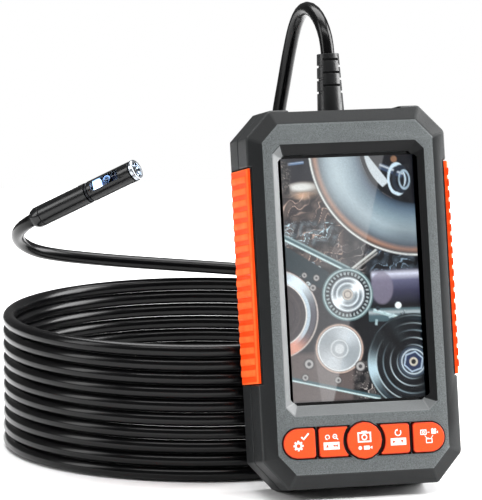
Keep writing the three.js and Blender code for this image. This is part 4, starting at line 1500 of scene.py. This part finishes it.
    def backdrop(self) -> None:
        """Dark castings and small parts behind everything."""
        for box, tone in (((0, 0, 16, 13), (30, 30, 38)), ((0, 13, 26, 40), (58, 52, 54)),
                          ((0, 76, 30, 95), (98, 88, 86)), ((28, 38, 54, 60), (16, 16, 20)),
                          ((26, 60, 44, 95), (14, 15, 19))):
            self.cover(self.within(box, 2.0), shade(*tone))
        self.stroke((3, 2.2), (10, 1.6), 0.5, (90, 116, 150), 0.4)
        self.ring(9.5, 12.6, 0.0, 3.4, (128, 118, 110), squeeze=2.2, soft=1.2)
        self.ring(8.5, 11.2, 0.0, 1.5, (206, 206, 202), squeeze=3.4, soft=1.2)
        self.ring(9.5, 14.6, 0.0, 1.2, (190, 156, 130), squeeze=3.0, soft=1.4)
        self.stroke((2.4, 1.0), (2.6, 14.0), 1.1, (30, 28, 32))
        for folds in (((0.0, 14.0, 24.0, 42.0), 0.36, (204, 178, 164), (34, 30, 34), 0.0),
                      ((0.0, 25.0, 22.0, 34.0), 0.52, (206, 230, 240), (30, 36, 44), 1.7),
                      ((14.0, 33.0, 34.0, 46.0), 0.36, (160, 152, 150), (40, 38, 40), 3.1),
                      ((33.0, 37.0, 54.2, 46.0), 0.42, (150, 172, 190), (12, 13, 18), 4.4),
                      ((25.0, 80.0, 38.0, 95.0), 0.46, (200, 190, 184), (18, 18, 22), 5.2),
                      ((0.0, 1.0, 4.2, 13.5), 1.1, (186, 176, 168), (18, 18, 20), 2.3)):
            self.castings(*folds)
        cool = [(170, 186, 196), (96, 108, 118), (220, 228, 230), (50, 54, 62)]
        self.clutter((4.0, 41.0, 14.0, 50.0), 16, cool, (0.6, 1.6))

    def pipe(self) -> None:
        """The wide bent steel pipe across the upper right."""
        far = self.radius(*self.pipe_middle)
        share = (far - self.pipe_inner) / (self.pipe_outer - self.pipe_inner)
        tones = ((40, 52, 66), (84, 102, 118), (128, 146, 156), (160, 174, 180), (134, 148, 156),
                 (96, 104, 112), (166, 128, 108), (84, 72, 70), (226, 228, 224), (50, 52, 58))
        inside = self.edge(far - self.pipe_outer) * self.edge(self.pipe_inner - far)
        stops = (0.0, 0.12, 0.32, 0.52, 0.68, 0.8, 0.88, 0.94, 0.975, 1.0)
        self.cover(inside, self.ramp(share, stops, tones))
        self.cover(self.glow((24.0, 6.0), (8.0, 12.0)) * inside * 0.45, shade(196, 208, 212))
        self.cover(self.glow((50.0, 33.0), (9.0, 7.0)) * inside * 0.5, shade(70, 78, 86))
        self.ring(*self.pipe_middle, self.pipe_inner - 1.8, self.pipe_inner, (18, 20, 26))

    def upper_fittings(self) -> None:
        """Clamp and hose seen inside the pipe's bend."""
        self.ring(*self.pipe_middle, 0.0, self.pipe_inner - 1.0, (20, 21, 27))
        self.stroke((33.0, 0.0), (42.0, 12.0), 2.6, (190, 198, 202))
        self.stroke((40.5, 4.0), (50.0, 8.0), 1.2, (58, 74, 98), 0.6)
        self.ring(47.5, 9.5, 5.0, 6.6, (188, 204, 214), squeeze=0.6)
        self.ring(49.0, 9.5, 3.6, 5.6, (36, 44, 56), squeeze=0.6)
        self.ring(50.4, 9.8, 3.0, 4.0, (150, 168, 180), squeeze=0.6)
        self.stroke((41.0, 14.6), (45.0, 17.0), 1.0, (150, 112, 92), 0.5)
        self.ring(46.6, 1.6, 0.0, 1.3, (132, 100, 78))

    def belts(self) -> None:
        """The ribbed belt that runs over the idler, and the long run along the foot."""
        teal, pale = (72, 98, 104), (196, 212, 212)
        self.stroke((-2.0, 36.5), (16.0, 48.0), 3.6, (40, 54, 60))
        for offset, half, tone in ((0.0, 1.2, teal), (-0.8, 0.35, pale), (1.1, 0.3, (150, 168, 170))):
            self.stroke((-2.0, 29.4 - offset), (26.4, 44.6 - offset), half, tone)
        self.stroke((27.0, 44.0), (37.5, 36.8), 0.45, (176, 176, 170), 0.7)
        self.stroke((27.5, 45.0), (38.0, 38.0), 0.3, (140, 136, 132), 0.4)
        for offset, half, tone in ((0.0, 0.8, teal), (-0.5, 0.28, pale)):
            self.stroke((-1.0, 85.4 - offset), (36.0, 94.6 - offset), half, tone)

    def big_pulley(self) -> None:
        """The large pulley at the left edge."""
        middle = (-4.8, 60.3)
        self.rings(middle, (0.0, 17.6, (58, 54, 58)), (16.9, 17.4, (196, 186, 180)),
                   (14.6, 16.4, (88, 86, 94)), (12.9, 14.3, (176, 190, 200)), (12.4, 12.9, (226, 224, 220)),
                   (0.0, 12.2, (74, 68, 70)), (9.9, 10.1, (96, 88, 88)), (8.0, 8.3, (60, 54, 56)))
        self.sheen(middle, 13.0, 17.0, -52, (214, 226, 232), 9.0)
        self.sheen(middle, 12.8, 17.0, 62, (206, 150, 132), 22.0)

    def idler(self) -> None:
        """The toothed idler at the middle, its belt wrapped round it."""
        middle = (24.9, 53.8)
        self.rings(middle, (0.0, 10.4, (96, 118, 122)), (9.4, 9.8, (190, 206, 206)), (0.0, 9.0, (44, 48, 52)),
                   (0.0, 6.9, (148, 158, 164)), (6.1, 6.5, (226, 230, 232)), (4.9, 5.5, (96, 104, 112)),
                   (4.1, 4.6, (216, 222, 226)), (3.0, 3.6, (120, 128, 134)), (0.0, 2.2, (190, 182, 174)),
                   (1.2, 1.5, (70, 66, 66)))
        far = self.radius(*middle)
        teeth = (np.cos(self.angle(middle) * 34) > 0.1) * self.edge(far - 8.7) * self.edge(7.6 - far)
        self.cover(teeth * 0.75, shade(186, 196, 198))
        self.sheen(middle, 2.4, 6.8, -35, (240, 244, 246), 10.0)

    def plain_disc(self) -> None:
        """The flat round cap under the idler."""
        middle = (20.4, 74.8)
        self.rings(middle, (0.0, 10.0, (70, 62, 62)), (9.0, 9.6, (190, 168, 156)),
                   (0.0, 8.9, (150, 156, 160)), (8.3, 8.7, (228, 230, 230)), (3.1, 3.7, (196, 200, 202)),
                   (0.0, 2.9, (160, 166, 170)), (0.0, 1.9, (196, 200, 202)))
        self.sheen(middle, 3.9, 8.2, -60, (192, 198, 202), 3.0)

    def crank_pulley(self) -> None:
        """The big ribbed pulley at the lower right with its hexagon nut."""
        middle = (50.2, 81.2)
        self.rings(middle, (0.0, 19.0, (22, 28, 34)), (18.0, 18.4, (150, 166, 170)),
                   (16.4, 17.6, (40, 54, 62)), (15.0, 15.3, (196, 210, 214)), (13.4, 14.6, (16, 20, 26)),
                   (12.2, 12.6, (142, 160, 168)),
                   (10.2, 11.8, (10, 13, 18)), (9.3, 9.6, (206, 220, 226)), (7.4, 8.8, (14, 18, 26)),
                   (6.5, 6.8, (176, 192, 200)), (0.0, 6.0, (58, 70, 84)), (4.6, 5.0, (200, 212, 218)))
        self.sheen(middle, 9.0, 18.6, -128, (170, 190, 200), 34.0)
        self.sheen(middle, 6.2, 18.6, 50, (6, 8, 12), 2.2)
        self.sheen(middle, 15.0, 18.6, 172, (176, 198, 206), 20.0)
        sixth = math.pi / 3
        six = self.radius(*middle) * np.cos(np.mod(self.angle(middle) + 0.3, sixth) - sixth / 2)
        self.cover(self.edge(six - 3.7), shade(40, 52, 82))
        self.cover(self.edge(six - 3.7) * self.edge(3.2 - six), shade(176, 192, 206))
        self.rings(middle, (0.0, 1.7, (196, 190, 176)), (0.0, 1.0, (24, 24, 26)))

    def middle_right(self) -> None:
        """The pale motor body and hose between the pipe and the pulley."""
        upright = np.clip((self.y - 44.8) / 14.0, 0.0, 1.0)
        body = self.edge(np.abs(self.y - 51.8) - 7.0, 1.2) * self.edge(34.8 - self.x, 1.0)
        tones = ((90, 90, 104), (196, 198, 212), (96, 96, 120), (58, 58, 80), (14, 14, 20))
        self.cover(body, self.ramp(upright, (0.0, 0.12, 0.3, 0.6, 1.0), tones))
        self.ring(39.0, 51.8, 0.0, 6.4, (128, 122, 138), squeeze=0.7, soft=1.0, cover=0.75)
        self.stroke((33.0, 62.2), (54.0, 62.6), 2.6, (74, 96, 102), 0.4)
        self.stroke((35.0, 60.4), (50.0, 65.2), 0.7, (164, 186, 188), 0.5)
        self.ring(45.2, 58.9, 0.0, 1.3, (226, 232, 232))
        self.clutter((36.0, 58.0, 53.0, 66.0), 12, [(150, 172, 176), (50, 62, 70)], (0.8, 2.6))

    def bolts(self) -> None:
        """Round bolts on the lower castings."""
        for x, y, size in ((7.8, 80.2, 2.2), (6.0, 85.4, 1.5), (19.2, 87.0, 1.5), (28.5, 82.0, 2.2),
                           (12.6, 46.8, 1.4), (7.8, 45.6, 1.2), (11.0, 50.6, 1.5)):
            self.rings((x, y), (0.0, size, (64, 60, 62)), (0.0, size * 0.76, (170, 168, 166)),
                       (0.0, size * 0.36, (70, 68, 72)))

    def painted_glare(self) -> None:
        """Painted reflection of glare on the window over the display's left part: a soft slanting light, with
        a little more of it low at the left.
        """
        line = 42.6 - 0.27 * self.y
        mask = self.edge(self.x - line, 0.5)
        strength = 0.2 - 0.12 * np.clip((line - self.x) / 34.0, 0.0, 1.0)
        self.cover(mask * strength, shade(190, 190, 190))
        low = self.edge(10.0 - self.x + 0.10 * (self.y - 74.0), 0.5) * self.edge(74.0 - self.y, 4.0) * mask
        self.cover(low * 0.12, shade(210, 206, 204))

    def colors(self) -> np.ndarray:
        """Paints the whole picture.

        Returns:
            One linear colour for each grid point.
        """
        for paint in (self.backdrop, self.middle_right, self.upper_fittings, self.pipe, self.big_pulley,
                      self.crank_pulley, self.belts, self.plain_disc, self.idler, self.bolts, self.painted_glare):
            paint()
        noise = self.random.normal(0.0, 0.05, len(self.x))[:, None]
        curve = 1.3 * np.power(np.clip(self.paint, 0.0, 1.0), 1.12)
        return np.clip(curve * (1.0 + noise), 0.0, 1.0)


@dataclass
class Display:
    """The picture, the panel behind it, the seal and the clear window."""

    middle: float = 81.3
    face: float = -23.84
    depth: float = 0.03
    shift: float = 0.2

    def picture(self) -> None:
        """Makes the lit picture as a thin closed sheet with a colour at every point."""
        art = EnginePicture()
        wide, high = art.columns + 1, art.rows + 1
        verts = np.stack([art.x - art.width / 2 + self.shift, np.full_like(art.x, self.face),
                          self.middle + art.height / 2 - art.y], axis=1)
        index = np.arange(wide * high).reshape(high, wide)
        cells = [index[:-1, :-1], index[1:, :-1], index[1:, 1:], index[:-1, 1:]]
        quads = np.stack(cells, axis=2).reshape(-1, 4)
        corners = verts[[index[0, 0], index[0, -1], index[-1, -1], index[-1, 0]]] + (0.0, self.depth, 0.0)
        count = len(verts)
        top, right, bottom, left = (index[0, :], index[:, -1], index[-1, ::-1], index[::-1, 0])
        sides = [[*edge.tolist(), count + (k + 1) % 4, count + k] for k, edge in
                 enumerate((top, right, bottom, left))]
        faces = quads.tolist() + sides + [[count, count + 1, count + 2, count + 3]]
        mesh = bpy.data.meshes.new("display_picture")
        mesh.from_pydata(np.vstack([verts, corners]).tolist(), [], faces)
        mesh.transform(LEAN.matrix())
        colors = np.vstack([art.colors(), np.zeros((4, 3))])
        held = mesh.attributes.new("picture", "FLOAT_COLOR", "POINT")
        opaque = np.hstack([colors, np.ones((len(colors), 1))])
        held.data.foreach_set("color", opaque.astype(np.float32).ravel())
        mesh.materials.append(dressed(PICTURE))
        finish_piece("display_picture", mesh, "unit")

    def build(self) -> None:
        """Makes the picture and dresses the rest of the stack."""
        self.picture()
        repaint("screen_window", WINDOW)
        repaint("window_gasket", BLACK_RUBBER)
        repaint("lcd_panel", PANEL_BLACK)
        repaint("lcd_frame", DARK_PLASTIC)


# ---------------------------------------------------------------- probe and inner parts


@dataclass
class Probe:
    """The camera head on the cable's far end."""

    shells: tuple[str, ...] = ("probe_cap", "probe_barrel", "probe_head")
    facing: Point3 = (-0.42, -0.71, 0.57)
    clearance: float = 0.6
    lamps: int = 8
    lamp_radius: float = 0.36
    lamp_circle: float = 2.2
    lamp_level: float = 50.95

    def turned_copy(self, node: str, finish: Plastic, width: float) -> bpy.types.Object:
        """A probe piece's copy, its rims softened and its round sides smooth."""
        built = merged_copy(node, upright=False)
        round_edges(built, [Rounding(lambda a, b: True, width, 2, 40.0)])
        mesh = to_mesh(built, [dressed(finish)], Matrix.Scale(MM, 4), smooth_below=36.0)
        return even_shading(finish_piece(node.replace("probe_", "camera_head_"), mesh, "unit", [node]))

    def lens(self, node: str, name: str) -> str:
        """A lens barrel with a bright ring, a dark step and a coated front.

        Args:
            node: the CAD node.
            name: the new piece's name.

        Returns:
            That name.
        """
        built = merged_copy(node, upright=False)
        radius = max((face.calc_area() for face in built.faces)) ** 0.5 / math.sqrt(math.pi)
        for cap in [face for face in built.faces if len(face.verts) > 10]:
            for share, sink, index in ((0.3, 0.0, 1), (0.16, -0.2, 0)):
                ring = bmesh.ops.inset_individual(built, faces=[cap], thickness=radius * share, depth=sink,
                                                  use_even_offset=True)
                for face in ring["faces"]:
                    face.material_index = index
            cap.material_index = 2
        mesh = to_mesh(built, [dressed(PROBE_BLACK), dressed(LENS_RING), dressed(LENS_DARK)],
                       Matrix.Scale(MM, 4))
        finish_piece(name, mesh, "unit", [node])
        return name

    def tip_lamps(self, layouts: LayoutTrees) -> str:
        """The ring of small lamps round the front lens.

        Returns:
            The piece's name.
        """
        dot = bmesh.new()
        bmesh.ops.create_uvsphere(dot, u_segments=12, v_segments=8, radius=self.lamp_radius,
                                  matrix=Matrix.Diagonal((1.0, 1.0, 0.5, 1.0)))
        source = to_mesh(dot, [], Matrix.Identity(4), smooth_below=60.0)
        mesh = baked(bpy.data.objects.new("lamp_dot", source), layouts.ring(), {
            "Count": self.lamps, "Radius": self.lamp_circle, "Finish": dressed(LAMP)})
        mesh.transform(self.matrix() @ Matrix.Translation((0, 0, self.lamp_level)))
        mesh.transform(Matrix.Scale(MM, 4))
        finish_piece("tip_lamps", mesh, "unit")
        return "tip_lamps"

    def matrix(self) -> Matrix:
        """From the probe's own millimetres, its axis along z, to the row frame's."""
        along = Vector(PROBE_AIM).normalized()
        facing = Vector(self.facing)
        facing = (facing - along * facing.dot(along)).normalized()
        third = along.cross(facing)
        turned = Matrix((facing, third, along)).transposed().to_4x4()
        return Matrix.Translation(Vector(TAIL_END) + along * self.clearance) @ turned

    def build(self, layouts: LayoutTrees) -> list[str]:
        """Makes the probe.

        Args:
            layouts: the geometry trees.

        Returns:
            Names of the probe's pieces and of the CAD nodes it dresses.
        """
        made = [self.turned_copy(node, PROBE_BLACK, 0.12).name for node in self.shells]
        made.append(self.turned_copy("probe_ring", DARK_STEEL, 0.06).name)
        made.append(self.turned_copy("probe_bezel", LENS_RING, 0.1).name)
        made.append(self.lens("side_lens", "side_lens_barrel"))
        made.append(self.lens("front_lens", "front_lens_barrel"))
        made.append(self.tip_lamps(layouts))
        kept = {"side_window": RECESS_BLUE, "front_window": WINDOW, "side_led": LAMP,
                "led_board": DARK_PLASTIC, "side_board": BOARD_BLUE}
        for node, finish in kept.items():
            repaint(node, finish)
        return made + list(kept)


@dataclass
class InnerParts:
    """Boards, battery and fittings inside the unit."""

    finishes: dict[str, Plastic] = field(default_factory=lambda: {
        "key_board": BOARD_GREEN, "main_board": BOARD_GREEN, "usb_port": STEEL, "card_socket": STEEL,
        "battery_pack": BATTERY_BLUE, "battery_cover_screw": STEEL, "gland_body": DARK_PLASTIC,
        "gland_nut": BRASS, "board_screw_1": STEEL, "board_screw_2": STEEL})

    def build(self) -> None:
        """Dresses every inner part."""
        for node, finish in self.finishes.items():
            repaint(node, finish)


def main() -> None:
    """Builds the studio and every sub-assembly in order."""
    logging.basicConfig(level=logging.INFO, format="%(name)s: %(message)s")
    Studio().build()
    layouts = LayoutTrees()
    carried = Probe().build(layouts)
    Cable().build(carried)
    Housing().build()
    for side in Side:
        Grip(side, rib_front=-24.6 if side is Side.LEFT else -26.2).build(layouts)
    Screws().build(layouts)
    Keypad().build()
    Display().build()
    InnerParts().build()


if __name__ == "__main__":
    main()
